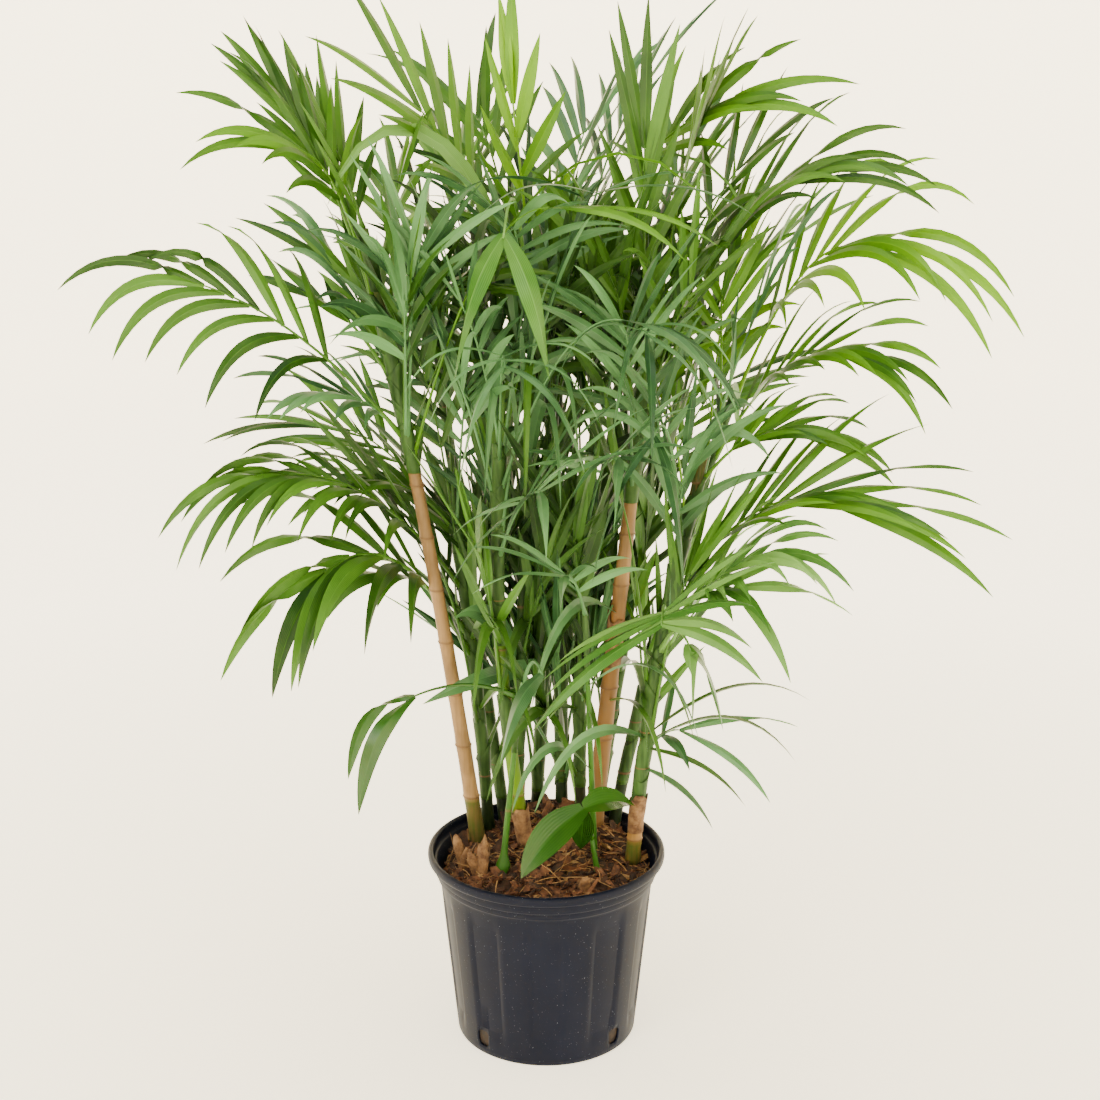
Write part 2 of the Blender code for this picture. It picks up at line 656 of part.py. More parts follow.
def main():
    """Build the pot, the bark mix, the canes and their fronds."""
    clear_scene()
    plant = bpy.data.collections.new("potted_bamboo_palm")
    cutters = bpy.data.collections.new("cutters")
    for collection in (plant, cutters):
        bpy.context.scene.collection.children.link(collection)
    obstacles = Obstacles()
    build_pot(plant, cutters)
    mix = build_mix(plant)
    mix_verts = [vert.co.copy() for vert in mix.data.vertices]
    mix_faces = [tuple(face.vertices) for face in mix.data.polygons]
    mix_tree = BVHTree.FromPolygons(mix_verts, mix_faces)
    obstacles.add(mix_verts, mix_faces, "growing_mix")
    stems = {}
    for name, spec in CANES.items():
        stems[name] = build_cane(name, spec, ground_under(mix_tree, spec), plant)
        mesh = bpy.data.objects[f"cane_{name}"].data
        obstacles.add([v.co.copy() for v in mesh.vertices], [tuple(f.vertices) for f in mesh.polygons], name)
    ribs = {}
    counts = {}
    for spec in list(FRONDS) + fill_fronds():
        counts[spec.cane] = counts.get(spec.cane, 0) + 1
        name = f"frond_{spec.cane}_{counts[spec.cane]}"
        rib = place_rib(spec, name, stems[spec.cane], obstacles)
        if rib:
            ribs[name] = rib
    leaf = make_material("leaf_green", (0.06, 0.19, 0.03), 0.4)
    for name, rib in ribs.items():
        chosen = place_leaves(rib, name, obstacles)
        build_frond(name, rib, chosen, leaf, plant)


if __name__ == "__main__":
    main()
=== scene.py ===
"""Dresses the potted bamboo palm: ringed canes, feathered fronds, bark mix and a fluted nursery pot.

Metres, +Z up, the plant's front towards -Y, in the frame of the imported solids. Each solid is replaced by a
finer piece that follows the same rule, so canes and fronds stand where the solids do.
"""
import logging
import math
from dataclasses import dataclass, field
from enum import Enum

import bmesh
import bpy
import numpy as np
from mathutils import Matrix, Vector, noise

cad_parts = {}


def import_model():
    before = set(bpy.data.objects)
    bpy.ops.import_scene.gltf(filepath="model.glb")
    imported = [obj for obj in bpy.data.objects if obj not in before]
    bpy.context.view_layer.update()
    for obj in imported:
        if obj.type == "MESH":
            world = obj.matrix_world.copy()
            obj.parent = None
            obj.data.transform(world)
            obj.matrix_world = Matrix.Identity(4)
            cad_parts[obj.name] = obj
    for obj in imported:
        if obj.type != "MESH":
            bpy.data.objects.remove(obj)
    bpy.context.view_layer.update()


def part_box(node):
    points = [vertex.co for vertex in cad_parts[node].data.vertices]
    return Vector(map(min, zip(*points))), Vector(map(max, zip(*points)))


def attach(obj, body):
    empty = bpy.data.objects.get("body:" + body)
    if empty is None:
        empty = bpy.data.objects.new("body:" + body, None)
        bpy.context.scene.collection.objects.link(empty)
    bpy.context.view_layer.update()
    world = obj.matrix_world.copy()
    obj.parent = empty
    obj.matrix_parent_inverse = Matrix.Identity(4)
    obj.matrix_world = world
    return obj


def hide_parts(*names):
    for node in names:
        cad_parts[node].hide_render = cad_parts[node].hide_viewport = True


LOG = logging.getLogger("bamboo_palm")
BODY = "root"
SEED = 7


def tint(red: int, green: int, blue: int) -> tuple[float, float, float]:
    """Turn a display colour, 0 to 255, into the linear one that shaders take."""
    return tuple(((c / 255.0 + 0.055) / 1.055) ** 2.4 for c in (red, green, blue))


class Tone(Enum):
    """The greens that the fronds are dealt; the darkest is painted shade, for fronds deep in the crown and low between
    the canes.
    """

    FRESH = "fresh"
    DEEP = "deep"
    BLUE = "blue"
    PALE = "pale"
    YELLOW = "yellow"
    # Not a green of its own: a darker one for leaves inside the crown, painted shade
    SHADE = "shade"
    BROAD = "broad"


@dataclass(frozen=True)
class LeafFinish:
    """The finish of a leaflet: its green, the paler green of its keel and how glossy it is."""

    tone: Tone
    colour: tuple[float, float, float]
    light: tuple[float, float, float]
    roughness: float = 0.30
    gloss: float = 0.24

    def material(self) -> bpy.types.Material:
        """Make the leaf material, with fine veins along the leaf and soft patches of the lighter green.

        Returns:
            The new material.
        """
        sheet = MaterialSheet(f"leaf_{self.tone.value}")
        uv = sheet.node("ShaderNodeUVMap")
        split = sheet.node("ShaderNodeSeparateXYZ")
        sheet.link(uv.outputs["UV"], split.inputs["Vector"])
        shade = sheet.node("ShaderNodeAttribute")
        shade.attribute_name = "shade"
        veins = sheet.math("SINE", sheet.math("MULTIPLY", split.outputs["X"], 75.0))
        keel = sheet.math("ABSOLUTE", sheet.math("SUBTRACT", split.outputs["X"], 0.5))
        patches = sheet.noise(scale=22.0, detail=1.0)
        share = sheet.math("ADD", sheet.math("MULTIPLY", veins, 0.10), sheet.math("MULTIPLY", patches, 0.6))
        share = sheet.math("ADD", sheet.math("MULTIPLY", shade.outputs["Fac"], 0.75), share)
        mixed = sheet.mix(sheet.ramp(share, 0.25, 1.10), self.colour, self.light)
        ridge = sheet.ramp(keel, 0.040, 0.0)
        base = sheet.mix(sheet.math("MULTIPLY", ridge, 0.55), mixed, self.light)
        sheet.link(base, sheet.shader.inputs["Base Color"])
        height = sheet.math("ADD", sheet.math("MULTIPLY", veins, 0.35), ridge)
        sheet.bump(height, strength=0.22, distance=0.0006)
        sheet.shader.inputs["Roughness"].default_value = self.roughness
        sheet.shader.inputs["Specular IOR Level"].default_value = self.gloss
        return sheet.material


@dataclass(frozen=True)
class CaneFinish:
    """The finish of a cane: colours at heights up the plant, and its grain."""

    name: str
    stops: tuple[tuple[float, tuple[float, float, float]], ...]
    scar: tuple[float, float, float] = (0.12, 0.065, 0.03)
    roughness: float = 0.45

    def material(self) -> bpy.types.Material:
        """Make the cane material, with its colours by height, fine grain along it and small stains.

        Returns:
            The new material.
        """
        sheet = MaterialSheet(f"cane_{self.name}")
        place = sheet.node("ShaderNodeTexCoord").outputs["Object"]
        split = sheet.node("ShaderNodeSeparateXYZ")
        sheet.link(place, split.inputs["Vector"])
        ramp = sheet.node("ShaderNodeValToRGB")
        elements = ramp.color_ramp.elements
        elements[0].position, elements[0].color = self.stops[0][0], (*self.stops[0][1], 1.0)
        elements[1].position, elements[1].color = self.stops[-1][0], (*self.stops[-1][1], 1.0)
        for height, colour in self.stops[1:-1]:
            element = elements.new(height)
            element.color = (*colour, 1.0)
        sheet.link(split.outputs["Z"], ramp.inputs["Fac"])
        grain = sheet.noise(scale=60.0, detail=4.0, stretch=(5.0, 5.0, 0.35))
        stains = sheet.noise(scale=28.0, detail=3.0)
        shade = sheet.math("ADD", sheet.ramp(grain, 0.38, 0.66), sheet.ramp(stains, 0.44, 0.64))
        dark = tuple(channel * 0.55 for channel in self.stops[len(self.stops) // 2][1])
        base = sheet.mix(sheet.math("MULTIPLY", shade, 0.40), ramp.outputs["Color"], dark)
        scar = sheet.node("ShaderNodeAttribute")
        scar.attribute_name = "scar"
        base = sheet.mix(sheet.math("MULTIPLY", scar.outputs["Fac"], 0.75), base, self.scar)
        sheet.link(base, sheet.shader.inputs["Base Color"])
        sheet.bump(grain, strength=0.25, distance=0.0006)
        sheet.shader.inputs["Specular IOR Level"].default_value = 0.20
        sheet.shader.inputs["Roughness"].default_value = self.roughness
        return sheet.material


@dataclass(frozen=True)
class SheathFinish:
    """The finish of a leaf sheath: two greens in fine lines along it."""

    name: str
    colour: tuple[float, float, float]
    light: tuple[float, float, float]
    roughness: float = 0.50

    def material(self) -> bpy.types.Material:
        """Make the sheath material.

        Returns:
            The new material.
        """
        sheet = MaterialSheet(self.name)
        lines = sheet.noise(scale=240.0, detail=2.0, stretch=(1.0, 1.0, 0.04))
        patches = sheet.noise(scale=26.0, detail=2.0)
        share = sheet.math("ADD", sheet.math("MULTIPLY", lines, 0.6), sheet.math("MULTIPLY", patches, 0.5))
        base = sheet.mix(sheet.ramp(share, 0.40, 0.72), self.colour, self.light)
        sheet.link(base, sheet.shader.inputs["Base Color"])
        sheet.bump(lines, strength=0.3, distance=0.0005)
        sheet.shader.inputs["Specular IOR Level"].default_value = 0.20
        sheet.shader.inputs["Roughness"].default_value = self.roughness
        return sheet.material


@dataclass(frozen=True)
class PlasticFinish:
    """The pot's finish: charcoal plastic with fine pale specks and short scuffs."""

    colour: tuple[float, float, float] = tint(7, 12, 28)
    speck: tuple[float, float, float] = tint(150, 154, 160)
    roughness: float = 0.42

    def material(self) -> bpy.types.Material:
        """Make the pot's material.

        Returns:
            The new material.
        """
        sheet = MaterialSheet("pot_plastic")
        cloudy = sheet.noise(scale=14.0, detail=3.0)
        specks = sheet.noise(scale=640.0, detail=2.0)
        dust = sheet.ramp(specks, 0.71, 0.75)
        lighter = tuple(channel * 1.35 for channel in self.colour)
        cloud = sheet.mix(sheet.ramp(cloudy, 0.35, 0.70), self.colour, lighter)
        base = sheet.mix(sheet.math("MULTIPLY", dust, 0.40), cloud, self.speck)
        sheet.link(base, sheet.shader.inputs["Base Color"])
        sheet.bump(sheet.noise(scale=180.0, detail=2.0), strength=0.16, distance=0.0005)
        sheet.shader.inputs["Specular IOR Level"].default_value = 0.11
        sheet.shader.inputs["Roughness"].default_value = self.roughness
        return sheet.material


@dataclass(frozen=True)
class BarkFinish:
    """A bark or fibre finish between two colours."""

    name: str
    dark: tuple[float, float, float]
    light: tuple[float, float, float]
    roughness: float = 0.85

    def material(self) -> bpy.types.Material:
        """Make the bark material, with patches and coarse grain.

        Returns:
            The new material.
        """
        sheet = MaterialSheet(self.name)
        patches = sheet.noise(scale=110.0, detail=3.0)
        grain = sheet.noise(scale=420.0, detail=3.0)
        share = sheet.math("ADD", sheet.math("MULTIPLY", patches, 0.75), sheet.math("MULTIPLY", grain, 0.30))
        base = sheet.mix(sheet.ramp(share, 0.38, 0.68), self.dark, self.light)
        sheet.link(base, sheet.shader.inputs["Base Color"])
        sheet.bump(grain, strength=0.5, distance=0.0012)
        sheet.shader.inputs["Roughness"].default_value = self.roughness
        return sheet.material


class MaterialSheet:
    """A material under construction, with short calls for the nodes it needs."""

    def __init__(self, name: str) -> None:
        """Start a material that holds one Principled shader."""
        self.material = bpy.data.materials.new(name)
        self.material.use_nodes = True
        self.tree = self.material.node_tree
        self.shader = self.tree.nodes["Principled BSDF"]
        self.place = self.node("ShaderNodeTexCoord").outputs["Object"]

    def node(self, kind: str) -> bpy.types.Node:
        """Add a node of one kind."""
        return self.tree.nodes.new(kind)

    def link(self, start: bpy.types.NodeSocket, finish: bpy.types.NodeSocket) -> None:
        """Join two sockets."""
        self.tree.links.new(start, finish)

    def math(self, operation: str, first: object, second: object = None) -> bpy.types.NodeSocket:
        """Add a math node.

        Args:
            operation: The node's operation.
            first: A socket or a number.
            second: A socket, a number or nothing.

        Returns:
            The node's value socket.
        """
        node = self.node("ShaderNodeMath")
        node.operation = operation
        for slot, value in zip(node.inputs, (first, second)):
            if isinstance(value, bpy.types.NodeSocket):
                self.link(value, slot)
            elif value is not None:
                slot.default_value = value
        return node.outputs["Value"]

    def ramp(self, value: bpy.types.NodeSocket, low: float, high: float) -> bpy.types.NodeSocket:
        """Stretch a value so that low gives 0 and high gives 1, and no more."""
        node = self.node("ShaderNodeMapRange")
        self.link(value, node.inputs["Value"])
        node.inputs["From Min"].default_value = low
        node.inputs["From Max"].default_value = high
        return node.outputs["Result"]

    def noise(self, scale: float, detail: float,
              stretch: tuple[float, float, float] = (1.0, 1.0, 1.0)) -> bpy.types.NodeSocket:
        """Add noise on the object's own coordinates.

        Args:
            scale: Features per metre, near enough.
            detail: Octaves of detail.
            stretch: How much finer the pattern is along each axis.

        Returns:
            The noise's value socket.
        """
        mapping = self.node("ShaderNodeMapping")
        mapping.inputs["Scale"].default_value = stretch
        self.link(self.place, mapping.inputs["Vector"])
        node = self.node("ShaderNodeTexNoise")
        node.inputs["Scale"].default_value = scale
        node.inputs["Detail"].default_value = detail
        self.link(mapping.outputs["Vector"], node.inputs["Vector"])
        return node.outputs["Fac"]

    def mix(self, share: bpy.types.NodeSocket, first: object, second: object) -> bpy.types.NodeSocket:
        """Mix two colours, each given as a socket or as three numbers.

        Args:
            share: How much of the second colour shows.
            first: The first colour.
            second: The second colour.

        Returns:
            The mixed colour's socket.
        """
        node = self.node("ShaderNodeMix")
        node.data_type = "RGBA"
        self.link(share, node.inputs["Factor"])
        for slot, value in ((node.inputs["A"], first), (node.inputs["B"], second)):
            socket = next(s for s in node.inputs if s.name == slot.name and s.type == "RGBA")
            if isinstance(value, bpy.types.NodeSocket):
                self.link(value, socket)
            else:
                socket.default_value = (*value, 1.0)
        return next(s for s in node.outputs if s.type == "RGBA")

    def bump(self, height: bpy.types.NodeSocket, strength: float, distance: float) -> None:
        """Raise the surface by a height pattern."""
        node = self.node("ShaderNodeBump")
        node.inputs["Strength"].default_value = strength
        node.inputs["Distance"].default_value = distance
        self.link(height, node.inputs["Height"])
        self.link(node.outputs["Normal"], self.shader.inputs["Normal"])


def finish_bmesh(name: str, bm: bmesh.types.BMesh, material: bpy.types.Material) -> bpy.types.Object:
    """Write a bmesh to a smooth object whose faces point outwards.

    Args:
        name: The piece's name.
        bm: The modelled shape, freed here.
        material: Its finish.

    Returns:
        The new object.
    """
    bmesh.ops.recalc_face_normals(bm, faces=bm.faces[:])
    mesh = bpy.data.meshes.new(name)
    bm.to_mesh(mesh)
    bm.free()
    mesh.shade_smooth()
    mesh.materials.append(material)
    obj = bpy.data.objects.new(name, mesh)
    bpy.context.scene.collection.objects.link(obj)
    return obj


def seat(piece: bpy.types.Object, slot: str, *nodes: str) -> None:
    """Put a piece on the plant's one body, in place of some solids.

    Args:
        piece: The dressed piece.
        slot: The record's material slot; not used.
        nodes: The solids it stands for.
    """
    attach(piece, BODY)
    if nodes:
        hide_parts(*nodes)
    LOG.info("%s: %d faces", piece.name, len(piece.data.polygons))


def unit(vector: np.ndarray) -> np.ndarray:
    """Return a vector, or each row of vectors, at length one."""
    return vector / np.linalg.norm(vector, axis=-1, keepdims=True)


LEAVES = {
    Tone.FRESH: LeafFinish(Tone.FRESH, tint(30, 70, 2), tint(82, 132, 18)),
    Tone.DEEP: LeafFinish(Tone.DEEP, tint(20, 52, 6), tint(74, 120, 34)),
    Tone.BLUE: LeafFinish(Tone.BLUE, tint(20, 54, 24), tint(92, 140, 86)),
    Tone.PALE: LeafFinish(Tone.PALE, tint(48, 96, 26), tint(114, 160, 78)),
    Tone.YELLOW: LeafFinish(Tone.YELLOW, tint(56, 106, 0), tint(106, 156, 8)),
    # The darkest green, for fronds inside the crown and under it: painted shade
    Tone.SHADE: LeafFinish(Tone.SHADE, tint(14, 38, 6), tint(68, 108, 42)),
    Tone.BROAD: LeafFinish(Tone.BROAD, tint(18, 52, 6), tint(46, 88, 20), roughness=0.24, gloss=0.40),
}

# The sheaths' green, made darker to stand for the shade inside the clump: partly painted shade
SHEATH_GREEN = tint(28, 54, 16)


class Wood(Enum):
    """The finishes of the canes, with their colours at heights above the floor."""

    LEFT_TAN = ((0.20, tint(50, 70, 24)), (0.243, tint(66, 88, 30)), (0.248, tint(150, 120, 80)),
                (0.36, tint(142, 112, 72)), (0.628, tint(134, 106, 68)), (0.642, tint(88, 96, 46)),
                (0.67, tint(72, 104, 52)), (0.87, tint(64, 96, 40)))
    RIGHT_TAN = ((0.20, tint(96, 70, 34)), (0.34, tint(116, 82, 38)), (0.45, tint(128, 88, 42)),
                 (0.50, tint(146, 114, 72)), (0.60, tint(146, 114, 72)), (0.63, tint(80, 96, 44)),
                 (0.87, tint(64, 92, 38)))
    BRIGHT = ((0.20, tint(84, 60, 34)), (0.235, tint(84, 84, 26)), (0.27, tint(92, 130, 10)),
              (0.38, tint(62, 100, 14)), (0.65, tint(40, 70, 26)))
    LIGHT = ((0.19, tint(46, 72, 22)), (0.214, tint(52, 78, 24)), (0.218, tint(150, 112, 60)),
             (0.258, tint(156, 120, 66)), (0.263, tint(58, 92, 22)), (0.40, tint(42, 70, 20)),
             (0.65, tint(34, 60, 20)))
    PINK_FOOT = ((0.20, tint(108, 64, 40)), (0.285, tint(126, 80, 52)), (0.292, tint(40, 68, 22)),
                 (0.76, tint(42, 72, 30)))
    # The canes' own dark green, darker towards the foot, made darker still to stand for the shade inside the clump:
    # partly painted shade
    GREEN = ((0.20, tint(18, 32, 10)), (0.30, tint(26, 46, 14)), (0.56, tint(32, 56, 24)),
             (0.84, tint(40, 68, 32)))
    OLIVE = ((0.20, tint(36, 38, 20)), (0.45, tint(44, 50, 26)), (0.82, tint(46, 70, 32)))
    SHOOT = ((0.19, tint(42, 88, 20)), (0.30, tint(56, 102, 26)), (0.48, tint(56, 98, 30)))


@dataclass(frozen=True)
class Cane:
    """A cane from its flat foot on the bark mix to its top, and how it is ringed."""

    foot: tuple[float, float]
    top: tuple[float, float]
    height: float
    radius: float
    bow: float = 0.0
    wood: Wood = Wood.GREEN
    first_ring: float = 0.262
    ring_gap: float = 0.058
    bulb: float = 0.0
    bare: float = 0.0


@dataclass(frozen=True)
class Frond:
    """A frond by its cane, the level and direction it leaves at, how far it goes, and its leaflets."""

    cane: str
    level: float
    azimuth: float
    reach: float
    rise: float
    pairs: int = 6
    leaflet: float = 0.150
    first: float = 0.72
    width: float = 0.014
    droop: float = 0.9
    roll: float = 0.0
    base_angle: float = 48.0
    tip_angle: float = 20.0
    petiole: float = 0.36
    arch: float = 0.14
    stray: float = 3.5
    tone: Tone = Tone.DEEP


CANES = {
    "left_tan": Cane((-0.075, 0.050), (-0.178, -0.010), 0.870, 0.0085, 0.006, Wood.LEFT_TAN,
        first_ring=0.2485, ring_gap=0.062, bare=0.63),
    "bright_green": Cane((-0.022, 0.025), (-0.046, -0.020), 0.655, 0.0078, -0.013, Wood.BRIGHT),
    "dark_green": Cane((-0.064, 0.072), (-0.098, 0.070), 0.560, 0.0068, 0.004),
    "slim_green": Cane((-0.033, 0.070), (-0.010, 0.060), 0.760, 0.0066, -0.003, Wood.PINK_FOOT,
        first_ring=0.288),
    "ringed_green": Cane((0.017, 0.086), (0.000, 0.115), 0.740, 0.0068, 0.004),
    "olive": Cane((0.038, 0.072), (0.050, 0.075), 0.660, 0.0062, -0.006, Wood.OLIVE),
    "right_tan": Cane((0.052, 0.050), (0.100, 0.0425), 0.700, 0.0100, 0.0, Wood.RIGHT_TAN, first_ring=0.255,
        ring_gap=0.060, bare=0.59),
    "right_green": Cane((0.093, 0.004), (0.158, -0.030), 0.650, 0.0078, -0.010, Wood.LIGHT,
        first_ring=0.218, ring_gap=0.043),
    "back_right": Cane((0.074, 0.074), (0.200, 0.120), 0.680, 0.0070, -0.010),
    "back_left": Cane((-0.046, 0.090), (-0.120, 0.200), 0.700, 0.0066, 0.0),
    "back_mid": Cane((-0.012, 0.104), (0.020, 0.215), 0.770, 0.0066, 0.0),
    "back_low": Cane((0.056, 0.086), (0.120, 0.205), 0.600, 0.0062, 0.0),
    "thin_green": Cane((0.052, 0.012), (0.040, -0.030), 0.480, 0.0036, 0.0, Wood.SHOOT, ring_gap=0.2),
    "young_shoot": Cane((-0.047, -0.030), (-0.027, -0.012), 0.390, 0.0036, 0.0, Wood.SHOOT, ring_gap=0.2,
        bulb=0.0045),
    "sprout": Cane((0.055, -0.030), (0.048, -0.030), 0.232, 0.0034, 0.0, Wood.SHOOT, first_ring=0.9),
}

FRONDS = (
    Frond("left_tan", 0.660, 206, 0.199, 0.166, pairs=6, leaflet=0.145, first=1.0, droop=2.1, roll=-66,
          base_angle=40, tip_angle=9, petiole=0.38, arch=0.085, tone=Tone.DEEP),
    Frond("left_tan", 0.780, 159, 0.085, 0.196, pairs=7, leaflet=0.120, droop=0.5, roll=-35, base_angle=28,
          tip_angle=8, petiole=0.45, arch=0.10, tone=Tone.DEEP),
    Frond("left_tan", 0.800, 203, 0.061, 0.143, pairs=5, leaflet=0.145, droop=1.3, roll=-50, base_angle=42,
          tip_angle=12, petiole=0.50, arch=0.18, tone=Tone.FRESH),
    Frond("left_tan", 0.870, 150, 0.030, 0.080, pairs=4, leaflet=0.125, droop=0.5, base_angle=36,
          tip_angle=12, petiole=0.20, arch=0.02, tone=Tone.DEEP),
    Frond("left_tan", 0.660, 285, 0.075, 0.190, leaflet=0.150, width=0.012, droop=0.7, roll=-20,
          base_angle=52, stray=7.0, tone=Tone.BLUE),
    Frond("ringed_green", 0.740, 211, 0.145, 0.241, pairs=5, leaflet=0.160, droop=0.5, roll=-62,
          base_angle=40, tip_angle=12, petiole=0.60, arch=0.07, tone=Tone.FRESH),
    Frond("slim_green", 0.760, 250, 0.064, 0.231, pairs=4, leaflet=0.125, width=0.016, droop=0.2,
          base_angle=34, tip_angle=4, petiole=0.42, arch=0.03, tone=Tone.YELLOW),
    Frond("slim_green", 0.690, 262, 0.110, 0.185, pairs=5, leaflet=0.165, width=0.013, droop=0.9, roll=-15,
          base_angle=60, tip_angle=30, petiole=0.45, stray=9.0, tone=Tone.BLUE),
    Frond("right_tan", 0.700, 264, 0.043, 0.249, pairs=5, leaflet=0.155, droop=0.2, base_angle=24,
          tip_angle=5, petiole=0.50, arch=0.03, tone=Tone.DEEP),
    Frond("right_tan", 0.690, 346, 0.047, 0.276, pairs=5, leaflet=0.130, droop=0.8, roll=20, base_angle=26,
          tip_angle=8, petiole=0.60, arch=0.15, tone=Tone.FRESH),
    Frond("right_tan", 0.655, 344, 0.146, 0.257, pairs=7, leaflet=0.150, droop=1.4, roll=30, base_angle=24,
          tip_angle=8, petiole=0.42, arch=0.19, first=1.0, tone=Tone.DEEP),
    Frond("right_tan", 0.600, 262, 0.078, 0.172, leaflet=0.155, width=0.012, droop=0.7, roll=20,
          base_angle=54, stray=8.0, tone=Tone.BLUE),
    Frond("back_right", 0.670, 330, 0.135, 0.175, pairs=7, leaflet=0.200, droop=2.0, roll=50, base_angle=44,
          tip_angle=8, petiole=0.25, arch=0.22, tone=Tone.YELLOW),
    Frond("back_right", 0.610, 329, 0.136, 0.127, pairs=8, leaflet=0.135, droop=1.5, roll=30, base_angle=42,
          tip_angle=10, petiole=0.18, arch=0.18, first=1.1, tone=Tone.FRESH),
    Frond("back_right", 0.640, 262, 0.050, 0.150, pairs=5, leaflet=0.125, droop=0.35, roll=10,
          base_angle=40, arch=0.08, tone=Tone.FRESH),
    Frond("right_green", 0.620, 5, 0.083, 0.051, leaflet=0.130, droop=1.2, roll=25, base_angle=36,
          tip_angle=14, arch=0.16, tone=Tone.FRESH),
    Frond("right_green", 0.500, 344, 0.143, 0.110, pairs=8, leaflet=0.200, droop=0.78, roll=32,
          base_angle=38, tip_angle=8, petiole=0.30, arch=0.18, tone=Tone.FRESH),
    Frond("right_green", 0.430, 315, 0.102, 0.123, leaflet=0.150, first=0.80, droop=1.6, roll=35,
          base_angle=32, tip_angle=8, petiole=0.35, arch=0.12, tone=Tone.PALE),
    Frond("right_green", 0.470, 264, 0.090, 0.027, pairs=5, leaflet=0.180, width=0.017, droop=0.7, roll=32,
          base_angle=84, tip_angle=50, petiole=0.76, arch=0.20, tone=Tone.PALE),
    Frond("right_green", 0.330, 350, 0.030, 0.018, pairs=2, leaflet=0.130, width=0.012, droop=1.1, roll=30,
          base_angle=60, tip_angle=24, tone=Tone.BLUE),
    Frond("dark_green", 0.480, 213, 0.200, 0.151, pairs=9, leaflet=0.160, droop=2.2, roll=-35,
          base_angle=40, tip_angle=8, petiole=0.3, arch=0.14, tone=Tone.DEEP),
    Frond("dark_green", 0.405, 225, 0.193, 0.133, leaflet=0.158, first=1.3, width=0.021, droop=2.0,
          roll=-45, base_angle=40, tip_angle=14, petiole=0.32, arch=0.24, tone=Tone.DEEP),
    Frond("dark_green", 0.545, 285, 0.062, 0.165, leaflet=0.145, width=0.012, droop=0.7, roll=-20,
          base_angle=52, stray=8.0, tone=Tone.BLUE),
    Frond("bright_green", 0.540, 300, 0.082, 0.085, pairs=5, leaflet=0.165, droop=0.8, roll=30,
          base_angle=75, tip_angle=30, petiole=0.50, tone=Tone.BLUE),
    Frond("bright_green", 0.655, 222, 0.050, 0.150, leaflet=0.150, width=0.012, droop=0.6, roll=-30,
          base_angle=50, stray=8.0, tone=Tone.BLUE),
    Frond("young_shoot", 0.385, 194, 0.111, 0.010, pairs=1, leaflet=0.140, width=0.021, droop=6.0, roll=-20,
          tip_angle=26, arch=0.12, tone=Tone.BROAD),
    Frond("thin_green", 0.480, 250, 0.060, 0.060, pairs=4, leaflet=0.140, width=0.013, droop=0.9,
          tone=Tone.BLUE),
    Frond("sprout", 0.232, 238, 0.016, 0.040, pairs=0, width=0.016, tone=Tone.BROAD),
)

# The rest of the crown: cane, how many fronds, the first one's direction, the turn to the next, the green
FILLS = (
    ("slim_green", 1, 122.0, 0.0, Tone.DEEP),
    ("ringed_green", 2, 70.0, 75.0, Tone.BLUE),
    ("olive", 2, 40.0, 240.0, Tone.BLUE),
    ("right_tan", 1, 70.0, 0.0, Tone.DEEP),
    ("back_left", 3, 80.0, 35.0, Tone.DEEP),
    ("back_mid", 3, 45.0, 45.0, Tone.BLUE),
    ("back_low", 3, 0.0, 45.0, Tone.DEEP),
)
FILL_DROP = 0.085
FILL_REACH = (0.110, 0.165)
FILL_RISE = (0.240, 0.120)
FILL_LEAFLET = (0.155, 0.175)
FILL_ROLL = 25.0

